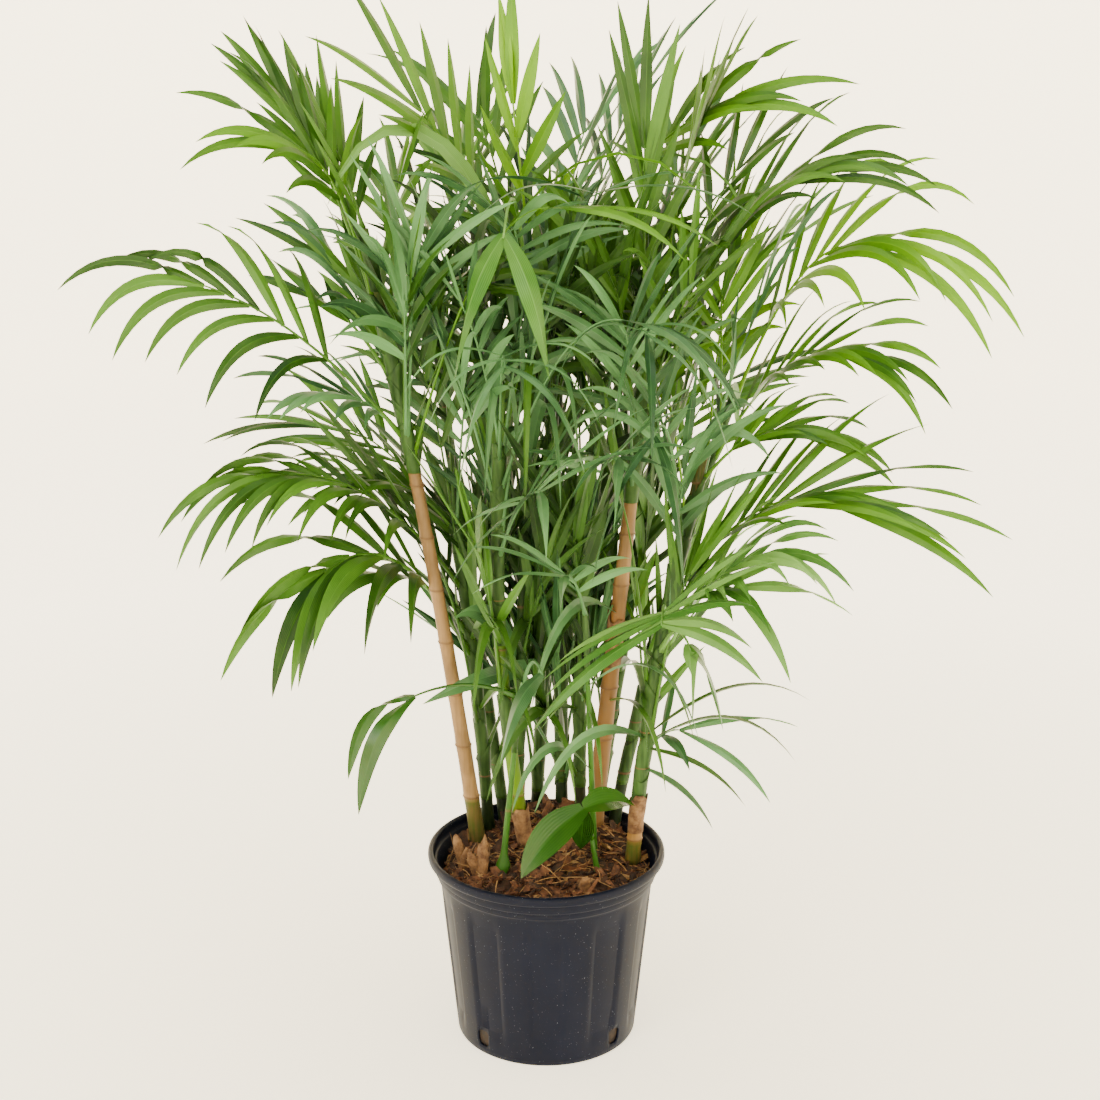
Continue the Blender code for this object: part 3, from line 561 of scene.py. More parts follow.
# Single leaves in front of the crown, too small for a solid of their own
SINGLES = (
    Frond("slim_green", 0.700, 261, 0.160, 0.172, pairs=1, leaflet=0.160, width=0.027, droop=2.9,
          tip_angle=24, arch=0.42, tone=Tone.PALE),
    Frond("bright_green", 0.640, 274, 0.130, 0.121, pairs=3, leaflet=0.155, width=0.011, droop=2.6,
          base_angle=70, tip_angle=30, petiole=0.80, arch=0.26, stray=8.0, tone=Tone.BLUE),
    Frond("left_tan", 0.640, 318, 0.185, 0.262, pairs=1, leaflet=0.180, width=0.010, droop=0.9,
          tip_angle=8, arch=0.20, tone=Tone.FRESH),
    Frond("bright_green", 0.610, 317, 0.160, 0.190, pairs=1, leaflet=0.170, width=0.010, droop=1.7,
          tip_angle=10, arch=0.20, tone=Tone.BLUE),
    Frond("ringed_green", 0.640, 283, 0.170, 0.270, pairs=2, leaflet=0.190, width=0.010, droop=1.0,
          base_angle=60, tip_angle=40, petiole=0.85, arch=0.20, tone=Tone.BLUE),
    Frond("ringed_green", 0.735, 337, 0.164, 0.240, pairs=4, leaflet=0.160, droop=1.0, roll=60,
          base_angle=26, tip_angle=8, petiole=0.64, arch=0.15, tone=Tone.FRESH),
    Frond("olive", 0.600, 290, 0.150, 0.175, pairs=3, leaflet=0.180, width=0.011, droop=2.6,
          base_angle=60, tip_angle=24, petiole=0.80, arch=0.25, stray=8.0, tone=Tone.BLUE),
    Frond("right_green", 0.560, 251, 0.110, 0.130, pairs=2, leaflet=0.175, width=0.013, droop=2.8,
          tip_angle=26, arch=0.30, stray=8.0, tone=Tone.BLUE),
    Frond("young_shoot", 0.389, 283, 0.105, 0.062, pairs=1, leaflet=0.120, width=0.020, droop=1.8,
          tip_angle=40, arch=0.20, tone=Tone.BLUE),
    Frond("left_tan", 0.720, 167, 0.069, 0.075, pairs=2, leaflet=0.08, width=0.015, droop=0.5, roll=-20,
          base_angle=20, tip_angle=10, petiole=0.6, arch=0.10, tone=Tone.DEEP),
    Frond("left_tan", 0.760, 59, 0.018, 0.149, pairs=5, leaflet=0.095, droop=1.2, roll=-10, base_angle=60,
          tip_angle=12, petiole=0.30, arch=0.20, tone=Tone.FRESH),
    Frond("left_tan", 0.660, 206, 0.058, 0.047, pairs=5, leaflet=0.120, width=0.013, droop=1.1, roll=-20,
          base_angle=52, petiole=0.40, arch=0.10, tone=Tone.BLUE),
    Frond("dark_green", 0.545, 194, 0.080, 0.057, pairs=5, leaflet=0.120, width=0.013, droop=1.3, roll=-20,
          base_angle=52, petiole=0.30, arch=0.14, tone=Tone.DEEP),
    Frond("dark_green", 0.430, 196, 0.072, 0.069, pairs=3, leaflet=0.115, width=0.022, droop=2.2,
          base_angle=60, tip_angle=30, petiole=0.60, arch=0.12, tone=Tone.DEEP),
    Frond("right_green", 0.460, 315, 0.085, 0.065, pairs=4, leaflet=0.135, width=0.015, droop=0.9, roll=40,
          base_angle=40, petiole=0.40, arch=0.16, tone=Tone.PALE),
    Frond("right_green", 0.440, 280, 0.111, 0.043, pairs=1, leaflet=0.105, width=0.024, droop=3.0,
          tip_angle=14, arch=0.14, tone=Tone.PALE),
    Frond("right_tan", 0.660, 352, 0.088, 0.264, pairs=4, leaflet=0.12, droop=0.8, roll=40, base_angle=50,
          petiole=0.50, arch=0.14, tone=Tone.DEEP),
)


@dataclass(frozen=True)
class Thicket:
    """Young fronds inside the crown, of one cane: how many, between which levels, and how they stand."""

    cane: str
    count: int
    levels: tuple[float, float]
    tone: Tone
    rise: tuple[float, float] = (0.15, 0.25)
    spread: tuple[float, float] = (42.0, 12.0)
    droop: tuple[float, float] = (0.3, 1.8)

    CEILING = 0.81
    TURN = 137.5

    def fronds(self, first: float, rng: np.random.Generator) -> list[Frond]:
        """Deal out the fronds down the cane, each turned by the golden angle.

        Args:
            first: The first one's direction.
            rng: The source of their small differences.

        Returns:
            The fronds.
        """
        low, high = self.levels
        fronds = []
        for i in range(self.count):
            level = high - (high - low) * (i + rng.uniform(0.0, 0.6)) / self.count
            fronds.append(Frond(
                self.cane, level, (first + i * self.TURN) % 360.0, rng.uniform(0.030, 0.075),
                min(rng.uniform(*self.rise), self.CEILING - level), pairs=int(rng.integers(4, 7)),
                leaflet=rng.uniform(0.130, 0.180), width=rng.uniform(0.0105, 0.0145),
                droop=rng.uniform(*self.droop), roll=rng.uniform(-50.0, 50.0),
                base_angle=self.spread[0] + rng.uniform(-6.0, 6.0), tip_angle=self.spread[1],
                petiole=rng.uniform(0.30, 0.50), arch=rng.uniform(0.06, 0.16), stray=11.0, tone=self.tone))
        return fronds


# Fronds inside the crown; those deepest in it take the darkest green, which is painted shade
THICKETS = (
    Thicket("left_tan", 3, (0.64, 0.74), Tone.BLUE),
    Thicket("bright_green", 4, (0.50, 0.64), Tone.BLUE),
    Thicket("dark_green", 3, (0.46, 0.55), Tone.SHADE),
    Thicket("slim_green", 6, (0.54, 0.72), Tone.SHADE),
    Thicket("ringed_green", 5, (0.54, 0.70), Tone.DEEP),
    Thicket("olive", 5, (0.46, 0.64), Tone.SHADE),
    Thicket("right_tan", 4, (0.62, 0.68), Tone.DEEP),
    Thicket("right_green", 3, (0.46, 0.60), Tone.BLUE),
    Thicket("back_right", 2, (0.50, 0.60), Tone.YELLOW),
    Thicket("back_left", 2, (0.50, 0.64), Tone.SHADE),
    Thicket("back_mid", 3, (0.50, 0.68), Tone.DEEP),
    Thicket("back_low", 2, (0.45, 0.56), Tone.SHADE),
)

# Upright blades between the canes, lower down; most take the darkest green, which is painted shade
SKIRTS = tuple(
    Thicket(cane, count, (low, low + 0.16), tone, rise=(0.10, 0.22), spread=(24.0, 7.0), droop=(0.0, 0.7))
    for cane, count, low, tone in (
        ("left_tan", 3, 0.62, Tone.DEEP), ("dark_green", 6, 0.28, Tone.SHADE), ("bright_green", 2, 0.34, Tone.DEEP),
        ("slim_green", 6, 0.28, Tone.SHADE), ("ringed_green", 7, 0.24, Tone.BLUE),
        ("olive", 6, 0.24, Tone.SHADE), ("back_low", 3, 0.24, Tone.SHADE),
        ("back_mid", 5, 0.22, Tone.SHADE), ("back_left", 3, 0.24, Tone.SHADE),
        ("back_right", 3, 0.26, Tone.DEEP), ("right_green", 3, 0.26, Tone.DEEP),
    ))


@dataclass(frozen=True)
class Sword:
    """A long blade that leaves its cane by itself and arches over."""

    cane: str
    level: float
    heading: tuple[float, float, float]
    length: float
    width: float
    droop: float
    tone: Tone = Tone.BLUE


SWORDS = (
    Sword("left_tan", 0.660, (0.36, -0.14, 0.92), 0.500, 0.014, 1.51, Tone.FRESH),
    Sword("slim_green", 0.750, (-0.29, -0.12, 0.95), 0.377, 0.017, 1.75, Tone.PALE),
    Sword("slim_green", 0.690, (-0.17, -0.57, 0.81), 0.265, 0.012, 4.42, Tone.BLUE),
    Sword("slim_green", 0.680, (-0.02, -0.63, 0.78), 0.282, 0.011, 4.34, Tone.DEEP),
    Sword("slim_green", 0.650, (0.15, -0.50, 0.85), 0.248, 0.012, 2.62, Tone.BLUE),
    Sword("slim_green", 0.600, (0.09, -0.49, 0.87), 0.277, 0.012, 2.52, Tone.BLUE),
    Sword("ringed_green", 0.690, (0.33, -0.64, 0.69), 0.246, 0.013, 2.47, Tone.BLUE),
    Sword("ringed_green", 0.720, (0.38, -0.63, 0.67), 0.239, 0.012, 3.20, Tone.DEEP),
    Sword("ringed_green", 0.730, (0.62, -0.50, 0.61), 0.288, 0.011, 3.10, Tone.DEEP),
    Sword("ringed_green", 0.735, (0.32, -0.18, 0.93), 0.386, 0.017, 1.88, Tone.PALE),
    Sword("ringed_green", 0.385, (-0.67, -0.73, 0.16), 0.204, 0.020, 0.32, Tone.BLUE),
    Sword("slim_green", 0.396, (-0.32, -0.43, 0.84), 0.143, 0.026, 1.05, Tone.BLUE),
    Sword("right_green", 0.345, (0.68, -0.30, 0.67), 0.192, 0.014, 1.05, Tone.DEEP),
    Sword("right_green", 0.335, (0.69, -0.44, 0.58), 0.187, 0.014, 1.46, Tone.DEEP),
    Sword("right_green", 0.325, (0.83, -0.55, -0.01), 0.124, 0.015, 0.95, Tone.DEEP),
    Sword("right_green", 0.302, (0.68, -0.72, -0.10), 0.105, 0.015, 0.88, Tone.BLUE),
    Sword("right_green", 0.340, (-0.60, -0.60, 0.45), 0.190, 0.012, 2.20, Tone.BLUE),
    Sword("thin_green", 0.300, (-0.40, -0.50, 0.70), 0.170, 0.011, 2.40, Tone.BLUE),
    Sword("slim_green", 0.330, (0.30, -0.75, 0.60), 0.200, 0.013, 2.60, Tone.DEEP),
    Sword("dark_green", 0.420, (0.20, -0.65, 0.60), 0.220, 0.014, 2.20, Tone.DEEP),
    Sword("bright_green", 0.440, (-0.10, -0.70, 0.60), 0.200, 0.012, 2.40, Tone.DEEP),
    Sword("olive", 0.400, (0.50, -0.60, 0.50), 0.220, 0.012, 2.60, Tone.DEEP),
    Sword("olive", 0.340, (-0.50, -0.70, 0.40), 0.200, 0.012, 2.40, Tone.SHADE),
    Sword("ringed_green", 0.340, (0.20, -0.70, 0.60), 0.200, 0.012, 3.00, Tone.DEEP),
    Sword("dark_green", 0.340, (0.30, -0.60, 0.70), 0.180, 0.013, 2.40, Tone.DEEP),
    Sword("right_tan", 0.460, (-0.40, -0.70, 0.50), 0.220, 0.012, 2.60, Tone.BLUE),
    Sword("right_tan", 0.360, (0.30, -0.80, 0.40), 0.180, 0.012, 2.40, Tone.DEEP),
    Sword("thin_green", 0.400, (0.50, -0.50, 0.60), 0.190, 0.011, 2.40, Tone.BLUE),
    Sword("back_low", 0.360, (0.10, -0.80, 0.60), 0.220, 0.013, 2.20, Tone.SHADE),
    Sword("back_mid", 0.400, (-0.20, -0.80, 0.60), 0.240, 0.013, 2.20, Tone.SHADE),
)


@dataclass(frozen=True)
class BroadLeaf:
    """A broad leaf of the sprout: the way it sets out, its length, width and droop, and how light it is."""

    heading: tuple[float, float, float]
    length: float
    width: float
    droop: float
    shade: float


BROAD_LEAVES = (
    BroadLeaf((-0.62, -0.45, -0.30), 0.100, 0.037, 0.9, 0.6),
    BroadLeaf((0.80, 0.45, 0.12), 0.066, 0.034, 0.9, 0.9),
    BroadLeaf((-0.05, 0.25, -0.75), 0.055, 0.026, 0.5, 0.0),
)


@dataclass(frozen=True)
class Husk:
    """A dry, torn sheath: an open tube with a ragged mouth, round a cane or by itself on the bark mix."""

    foot: tuple[float, float, float]
    mouth: tuple[float, float, float]
    radii: tuple[float, float]
    cane: str = ""


HUSKS = (
    Husk((0, 0, 0.199), (0, 0, 0.243), (0.0014, 0.0026), "bright_green"),
    Husk((0, 0, 0.206), (0, 0, 0.252), (0.0010, 0.0022), "slim_green"),
    Husk((0, 0, 0.398), (0, 0, 0.452), (0.0008, 0.0026), "right_tan"),
    Husk((0, 0, 0.226), (0, 0, 0.266), (0.0008, 0.0026), "right_green"),
    Husk((-0.088, -0.010, 0.184), (-0.094, -0.012, 0.219), (0.0052, 0.0064)),
    Husk((-0.089, -0.012, 0.184), (-0.084, -0.016, 0.212), (0.0055, 0.0070)),
    Husk((-0.069, -0.034, 0.182), (-0.066, -0.032, 0.222), (0.0058, 0.0070)),
    Husk((-0.071, -0.030, 0.182), (-0.078, -0.030, 0.210), (0.0055, 0.0075)),
    Husk((0.038, -0.072, 0.183), (0.040, -0.073, 0.203), (0.0055, 0.0080)),
)


class Stem:
    """A cane's bowed axis and its taper, as the solid has them."""

    TAPER = 0.60

    def __init__(self, name: str, cane: Cane) -> None:
        """Take the foot's height from the solid."""
        self.cane = cane
        self.foot_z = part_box(f"cane_{name}")[0][2]

    def share(self, z: float) -> float:
        """Return how far up the cane a height is."""
        return (z - self.foot_z) / (self.cane.height - self.foot_z)

    def centre(self, z: float) -> np.ndarray:
        """Return the axis point at a height."""
        share = self.share(z)
        foot, top = self.cane.foot, self.cane.top
        bow = self.cane.bow * 4.0 * share * (1.0 - share)
        return np.array([foot[0] + (top[0] - foot[0]) * share + bow, foot[1] + (top[1] - foot[1]) * share, z])

    def radius(self, z: float) -> float:
        """Return the cane's radius at a height."""
        return self.cane.radius * (1.0 + (self.TAPER - 1.0) * self.share(z))

    def rings(self) -> list[float]:
        """Return the heights of the leaf scars that ring the cane, closer together towards its top."""
        heights = []
        z, gap = self.cane.first_ring, self.cane.ring_gap
        while z < self.cane.height - 0.02:
            heights.append(z)
            z += gap
            gap *= 0.985
        return heights


class Rib:
    """A frond's rib: a bowed line from its cane's skin to its tip."""

    WIDTH = 0.0046

    def __init__(self, frond: Frond, stem: Stem) -> None:
        """Set the rib's three control points, by the solid's rule."""
        azimuth = math.radians(frond.azimuth)
        self.frond = frond
        self.out = np.array([math.cos(azimuth), math.sin(azimuth), 0.0])
        height = stem.cane.height
        if frond.level >= height:
            self.start = stem.centre(height)
        else:
            level = min(frond.level, height - self.WIDTH)
            self.start = stem.centre(level) + self.out * stem.radius(level)
        self.end = self.start + self.out * frond.reach + np.array([0.0, 0.0, frond.rise])
        chord = np.linalg.norm(self.end - self.start)
        self.middle = (self.start + self.end) / 2.0 + np.array([0.0, 0.0, 2.0 * frond.arch * chord])

    def point(self, share: float) -> np.ndarray:
        """Return the rib's point at a share of its length."""
        rest = 1.0 - share
        return self.start * rest * rest + self.middle * 2.0 * rest * share + self.end * share * share

    def frame(self, share: float) -> tuple[np.ndarray, np.ndarray, np.ndarray]:
        """Return the rib's direction, side and upper side at a share of its length."""
        along = unit((self.middle - self.start) * (1.0 - share) + (self.end - self.middle) * share)
        level = np.array([-self.out[1], self.out[0], 0.0])
        side = unit(level - along * level.dot(along))
        turn = math.radians(self.frond.roll) * min(share * 2.0, 1.0)
        side = side * math.cos(turn) + np.cross(along, side) * math.sin(turn)
        return along, side, np.cross(along, side)


class Template:
    """A unit sheet or tube, made once with bmesh operators and laid along many curves."""

    KEEL = 0.14

    def __init__(self, bm: bmesh.types.BMesh) -> None:
        """Read the shape's points and faces, and free it."""
        bm.verts.ensure_lookup_table()
        self.points = np.array([vert.co[:] for vert in bm.verts])
        self.faces = [[vert.index for vert in face.verts] for face in bm.faces]
        self.corners = np.array([vert for face in self.faces for vert in face])
        bm.free()

    @classmethod
    def sheet(cls, columns: int, rows: int) -> "Template":
        """Make a flat grid, from -1 to 1 across X and from 0 to 1 along Y."""
        bm = bmesh.new()
        bmesh.ops.create_grid(bm, x_segments=columns, y_segments=rows, size=1.0)
        bmesh.ops.translate(bm, verts=bm.verts[:], vec=(0, 1, 0))
        bmesh.ops.scale(bm, verts=bm.verts[:], vec=(1, 0.5, 1))
        for vert in bm.verts:
            if 0.1 < abs(vert.co.x) < 0.9:
                vert.co.x = math.copysign(cls.KEEL, vert.co.x)
        return cls(bm)

    @classmethod
    def tube(cls, sides: int, rows: int) -> "Template":
        """Make a closed tube of radius 1 along Z, from 0 to 1."""
        bm = bmesh.new()
        bmesh.ops.create_cone(bm, cap_ends=True, segments=sides, radius1=1.0, radius2=1.0, depth=1.0)
        bmesh.ops.translate(bm, verts=bm.verts[:], vec=(0, 0, 0.5))
        for row in range(1, rows):
            geom = bm.verts[:] + bm.edges[:] + bm.faces[:]
            bmesh.ops.bisect_plane(bm, geom=geom, plane_co=(0, 0, row / rows), plane_no=(0, 0, 1))
        return cls(bm)

    @classmethod
    def flake(cls, rng: np.random.Generator) -> "Template":
        """Make a torn flake of bark, a few dozen faces, from -1 to 1 along X."""
        bm = bmesh.new()
        bmesh.ops.create_cube(bm, size=2.0)
        bmesh.ops.subdivide_edges(bm, edges=bm.edges[:], cuts=1, use_grid_fill=True)
        bmesh.ops.scale(bm, verts=bm.verts[:], vec=(1.0, rng.uniform(0.18, 0.46), rng.uniform(0.06, 0.14)))
        bend = rng.uniform(-0.25, 0.25)
        for vert in bm.verts:
            vert.co.z += bend * vert.co.x ** 2 + rng.normal(0.0, 0.035)
            vert.co.x += rng.normal(0.0, 0.12)
            vert.co.y += rng.normal(0.0, 0.07)
        bmesh.ops.triangulate(bm, faces=bm.faces[:])
        return cls(bm)


@dataclass
class Stock:
    """Many laid templates gathered into one mesh, with a UV place and a shade for each point."""

    points: list = field(default_factory=list)
    faces: list = field(default_factory=list)
    places: list = field(default_factory=list)
    shades: list = field(default_factory=list)
    count: int = 0

    def add(self, template: Template, points: np.ndarray, places: np.ndarray, shade: float = 0.5) -> None:
        """Add one laid template.

        Args:
            template: The shape, for its faces.
            points: Where its points now are.
            places: Their UV places.
            shade: How light it is, 0 to 1.
        """
        self.points.append(points)
        self.shades.append(np.full(len(points), shade))
        self.places.append(places[template.corners])
        self.faces += [[vert + self.count for vert in face] for face in template.faces]
        self.count += len(points)

    def make(self, name: str, material: bpy.types.Material, smooth: bool = True) -> bpy.types.Object:
        """Write all to one mesh object.

        Args:
            name: The piece's name.
            material: Its finish.
            smooth: Whether its faces are shaded smooth.

        Returns:
            The new object, linked to the scene.
        """
        mesh = bpy.data.meshes.new(name)
        mesh.from_pydata(np.concatenate(self.points).tolist(), [], self.faces)
        layer = mesh.uv_layers.new(name="UVMap")
        layer.data.foreach_set("uv", np.concatenate(self.places).ravel())
        shade = mesh.attributes.new("shade", "FLOAT", "POINT")
        shade.data.foreach_set("value", np.concatenate(self.shades))
        if smooth:
            mesh.shade_smooth()
        mesh.materials.append(material)
        obj = bpy.data.objects.new(name, mesh)
        bpy.context.scene.collection.objects.link(obj)
        return obj


def lay_tube(stock: Stock, template: Template, line: np.ndarray, radii: np.ndarray, shade: float = 0.5) -> None:
    """Lay a tube along a line of points.

    Args:
        stock: Where the tube goes.
        template: A unit tube.
        line: Points along its axis.
        radii: The radius at each of them.
        shade: How light it is, 0 to 1.
    """
    shares = np.linspace(0.0, 1.0, len(line))
    ways = unit(np.gradient(line, axis=0))
    helper = np.array([0.0, 0.0, 1.0]) if abs(ways[0][2]) < 0.8 else np.array([1.0, 0.0, 0.0])
    sides = unit(np.cross(ways, helper))
    ups = np.cross(sides, ways)
    at = template.points[:, 2]
    centre = np.stack([np.interp(at, shares, line[:, i]) for i in range(3)], axis=1)
    side = np.stack([np.interp(at, shares, sides[:, i]) for i in range(3)], axis=1)
    up = np.stack([np.interp(at, shares, ups[:, i]) for i in range(3)], axis=1)
    radius = np.interp(at, shares, radii)[:, None]
    points = centre + side * template.points[:, :1] * radius + up * template.points[:, 1:2] * radius
    around = np.arctan2(template.points[:, 1], template.points[:, 0]) / math.tau + 0.5
    stock.add(template, points, np.stack([around, at], axis=1), shade)


@dataclass
class Foliage:
    """All the fronds: each a rib with its petiole, and feathered leaflets along both of its sides."""

    stems: dict[str, Stem]
    sheet: Template = field(default_factory=lambda: Template.sheet(4, 12))
    tube: Template = field(default_factory=lambda: Template.tube(8, 14))
    fold: float = math.radians(16.0)
    crowding: float = 1.0
    slimness: float = 0.88
    droop_late: float = 1.8
    poise: float = 0.50
    roof: float = 0.36
    root_share: float = 0.38
    keep_clear: bool = False

    def fronds(self) -> list[Frond]:
        """Return the fronds of the table and those that fill the rest of the crown."""
        fronds = list(FRONDS)
        for cane, count, first, step, tone in FILLS:
            for i in range(count):
                share = i / max(count - 1, 1)
                fronds.append(Frond(
                    cane, CANES[cane].height - FILL_DROP * (i + 0.4), (first + step * i) % 360.0,
                    FILL_REACH[0] + (FILL_REACH[1] - FILL_REACH[0]) * share,
                    FILL_RISE[0] + (FILL_RISE[1] - FILL_RISE[0]) * share,
                    leaflet=FILL_LEAFLET[0] + (FILL_LEAFLET[1] - FILL_LEAFLET[0]) * share, width=0.013,
                    droop=0.7, roll=FILL_ROLL if i % 2 else -FILL_ROLL, stray=6.0, tone=tone))
        return fronds

    def inner_fronds(self) -> dict[str, list[Frond]]:
        """Return the single leaves and the fronds inside the crown, by the piece that they make."""
        pieces = {}
        for frond in SINGLES:
            pieces.setdefault(f"single_{frond.cane}_{frond.tone.value}", []).append(frond)
        for kind, thickets in (("inner", THICKETS), ("skirt", SKIRTS)):
            for number, thicket in enumerate(thickets):
                rng = np.random.default_rng((SEED, 200 + len(pieces)))
                pieces[f"{kind}_{thicket.cane}"] = thicket.fronds(number * 53.0, rng)
        return pieces

    def build(self) -> list[Frond]:
        """Make each frond as one piece in its own green.

        Returns:
            The fronds, for their sheaths.
        """
        greens = {tone: finish.material() for tone, finish in LEAVES.items()}
        counts: dict[str, int] = {}
        laid = []
        for frond in self.fronds():
            counts[frond.cane] = counts.get(frond.cane, 0) + 1
            name = f"{frond.cane}_{counts[frond.cane]}"
            if not frond.pairs:
                piece = self.broad_leaves(frond, greens[frond.tone])
            else:
                rng = np.random.default_rng((SEED, len(laid)))
                piece = self.feather(f"feather_{name}", [frond], greens[frond.tone], rng)
            seat(piece, "leaf_green", f"frond_{name}")
            laid.append(frond)
        for tone in dict.fromkeys(sword.tone for sword in SWORDS):
            seat(self.swords(tone, greens[tone]), "leaf_green")
        self.keep_clear = True
        for number, (name, fronds) in enumerate(self.inner_fronds().items()):
            rng = np.random.default_rng((SEED, 100 + number))
            seat(self.feather(name, fronds, greens[fronds[0].tone], rng), "leaf_green")
            laid += fronds
        return laid

    def feather(self, name: str, fronds: list[Frond], green: bpy.types.Material,
                rng: np.random.Generator) -> bpy.types.Object:
        """Make some fronds of one cane as one piece.

        Args:
            name: The piece's name.
            fronds: Its fronds.
            green: Their finish.
            rng: The source of their small irregularities.

        Returns:
            The new piece.
        """
        stock = Stock()
        for frond in fronds:
            rib = Rib(frond, self.stems[frond.cane])
            self.lay_rib(stock, rib)
            self.lay_leaflets(stock, rib, rng)
        return stock.make(name, green)

    def hides_bare(self, line: np.ndarray) -> bool:
        """Tell whether a blade would stand right before the bare part of a cane."""
        for stem in self.stems.values():
            if stem.cane.bare:
                gaps = [point[:2] - stem.centre(point[2])[:2] for point in line
                        if stem.cane.first_ring + 0.02 < point[2] < stem.cane.bare - 0.01]
                if any(abs(across) < 0.018 and depth < 0.0 for across, depth in gaps):
                    return True
        return False

    def swords(self, tone: Tone, green: bpy.types.Material) -> bpy.types.Object:
        """Make the long single blades of one green as one piece."""
        stock = Stock()
        for sword in SWORDS:
            if sword.tone is tone:
                heading = unit(np.array(sword.heading))
                out = unit(heading * (1.0, 1.0, 0.0))
                stem = self.stems[sword.cane]
                root = stem.centre(sword.level) + out * stem.radius(sword.level) * 0.9
                middle = unit(heading - np.array((0.0, 0.0, 0.40 * sword.droop)))
                edge = np.cross(middle, (0.0, 0.60, -0.80)) + np.array((0.0, 0.30, -0.40))
                self.lay_blade(stock, root, heading, edge, sword.length, sword.width / 2.0, sword.droop, 0.5, 0.6)
        return stock.make(f"swords_{tone.value}", green)

    def broad_leaves(self, frond: Frond, green: bpy.types.Material) -> bpy.types.Object:
        """Make the sprout's stalk and the broad leaves at its tip.

        Args:
            frond: The stalk.
            green: Their finish.

        Returns:
            The new piece.
        """
        stock = Stock()
        rib = Rib(frond, self.stems[frond.cane])
        self.lay_rib(stock, rib)
        for leaf in BROAD_LEAVES:
            heading = np.array(leaf.heading)
            edge = np.cross(heading, (0.0, 0.55, -0.83))
            self.lay_blade(stock, rib.end, heading, edge, leaf.length, leaf.width / 2.0, leaf.droop, 0.2, leaf.shade)
        return stock.make("broad_leaves", green)

    def lay_rib(self, stock: Stock, rib: Rib) -> None:
        """Lay the rib: thick where it leaves its sheath, thin at its tip."""
        shares = np.linspace(0.0, 1.0, 15)
        line = np.array([rib.point(share) for share in shares])
        thick = min(rib.frond.width / 0.016, 1.2)
        radii = (0.0022 - 0.0013 * shares + 0.0016 * np.exp(-shares / 0.06)) * thick
        lay_tube(stock, self.tube, line, radii, shade=0.75)

    def lay_leaflets(self, stock: Stock, rib: Rib, rng: np.random.Generator) -> None:
        """Lay the leaflets of both sides, a little out of step with each other as they grow."""
        frond = rib.frond
        pairs = 1 if frond.pairs == 1 else round(frond.pairs * self.crowding)
        for i in range(pairs):
            step = i / (pairs - 1) if pairs > 1 else 1.0
            for sign in (1, -1):
                shift = 0.0 if i in (0, pairs - 1) else 0.22 * sign * (1.0 - frond.petiole) / pairs
                share = frond.petiole + (0.985 - frond.petiole) * step + shift
                self.lay_leaflet(stock, rib, min(share, 0.985), step, sign, rng)

    def lay_leaflet(self, stock: Stock, rib: Rib, share: float, step: float, sign: int,
                    rng: np.random.Generator) -> None:
        """Lay one leaflet: a narrow roof-folded blade that bows over from the rib to a fine tip.

        Args:
            stock: The frond's mesh.
            rib: Its rib.
            share: Where on the rib the leaflet grows.
            step: How far along the row of leaflets it is.
            sign: 1 on one side of the rib and -1 on the other.
            rng: The source of its small irregularities.
        """
        frond = rib.frond
        along, side, up = rib.frame(share)
        angle = frond.base_angle + (frond.tip_angle - frond.base_angle) * step + rng.normal(0.0, frond.stray)
        angle = math.radians(angle)
        fold = self.fold + math.radians(rng.normal(0.0, frond.stray))
        outward = side * (sign * math.cos(fold)) + up * math.sin(fold)
        heading = along * math.cos(angle) + outward * math.sin(angle)
        length = frond.leaflet * (frond.first + (1.0 - frond.first) * step)
        droop = frond.droop * rng.uniform(0.80, 1.15) * (1.0 - self.poise * max(heading[2], 0.0))
        half = frond.width * self.slimness * rng.uniform(0.84, 1.06) / 2.0
        self.lay_blade(stock, rib.point(share), heading, along * sign, length * rng.uniform(0.90, 1.04), half,
                       droop, rng.normal(0.0, 0.05 * frond.stray), rng.uniform(0.0, 1.0))

    def lay_blade(self, stock: Stock, root: np.ndarray, heading: np.ndarray, edge: np.ndarray, length: float,
                  half: float, droop: float, twist: float, shade: float) -> None:
        """Lay one blade: folded like a low roof, bowing over from its root to a fine tip.

        Args:
            stock: The mesh it goes to.
            root: Where it grows.
            heading: The way it sets out.
            edge: The way that one of its edges faces.
            length: Its length.
            half: Half its width.
            droop: How far its tip turns down.
            twist: How far its tip turns about its own line, in radians.
            shade: How light it is, 0 to 1.
        """
        stations = np.linspace(0.0, 1.0, 13)
        ways = unit(unit(heading) - np.outer(droop * stations ** self.droop_late, (0.0, 0.0, 1.0)))
        steps = unit(ways[1:] + ways[:-1]) * (length / 12.0)
        line = root + np.concatenate([np.zeros((1, 3)), np.cumsum(steps, axis=0)])
        if self.keep_clear and self.hides_bare(line):
            return
        across = unit(edge - ways * (ways @ edge)[:, None])
        normal = np.cross(across, ways)
        turn = (twist * stations)[:, None]
        across, normal = across * np.cos(turn) + normal * np.sin(turn), normal * np.cos(turn) - across * np.sin(turn)
        swell = np.where(stations < 0.4, self.root_share + (1 - self.root_share) * np.sin(stations * math.pi / 0.8),
                         np.cos((np.maximum(stations, 0.4) - 0.4) * math.pi / 1.2) ** 0.85)
        widths = np.maximum(swell, 0.02) * half
        row = np.rint(self.sheet.points[:, 1] * 12).astype(int)
        over = self.sheet.points[:, :1]
        width = widths[row][:, None]
        points = line[row] + across[row] * over * width - normal[row] * np.abs(over) * width * self.roof
        places = np.stack([self.sheet.points[:, 0] / 2.0 + 0.5, self.sheet.points[:, 1]], axis=1)
        stock.add(self.sheet, points, places, shade)


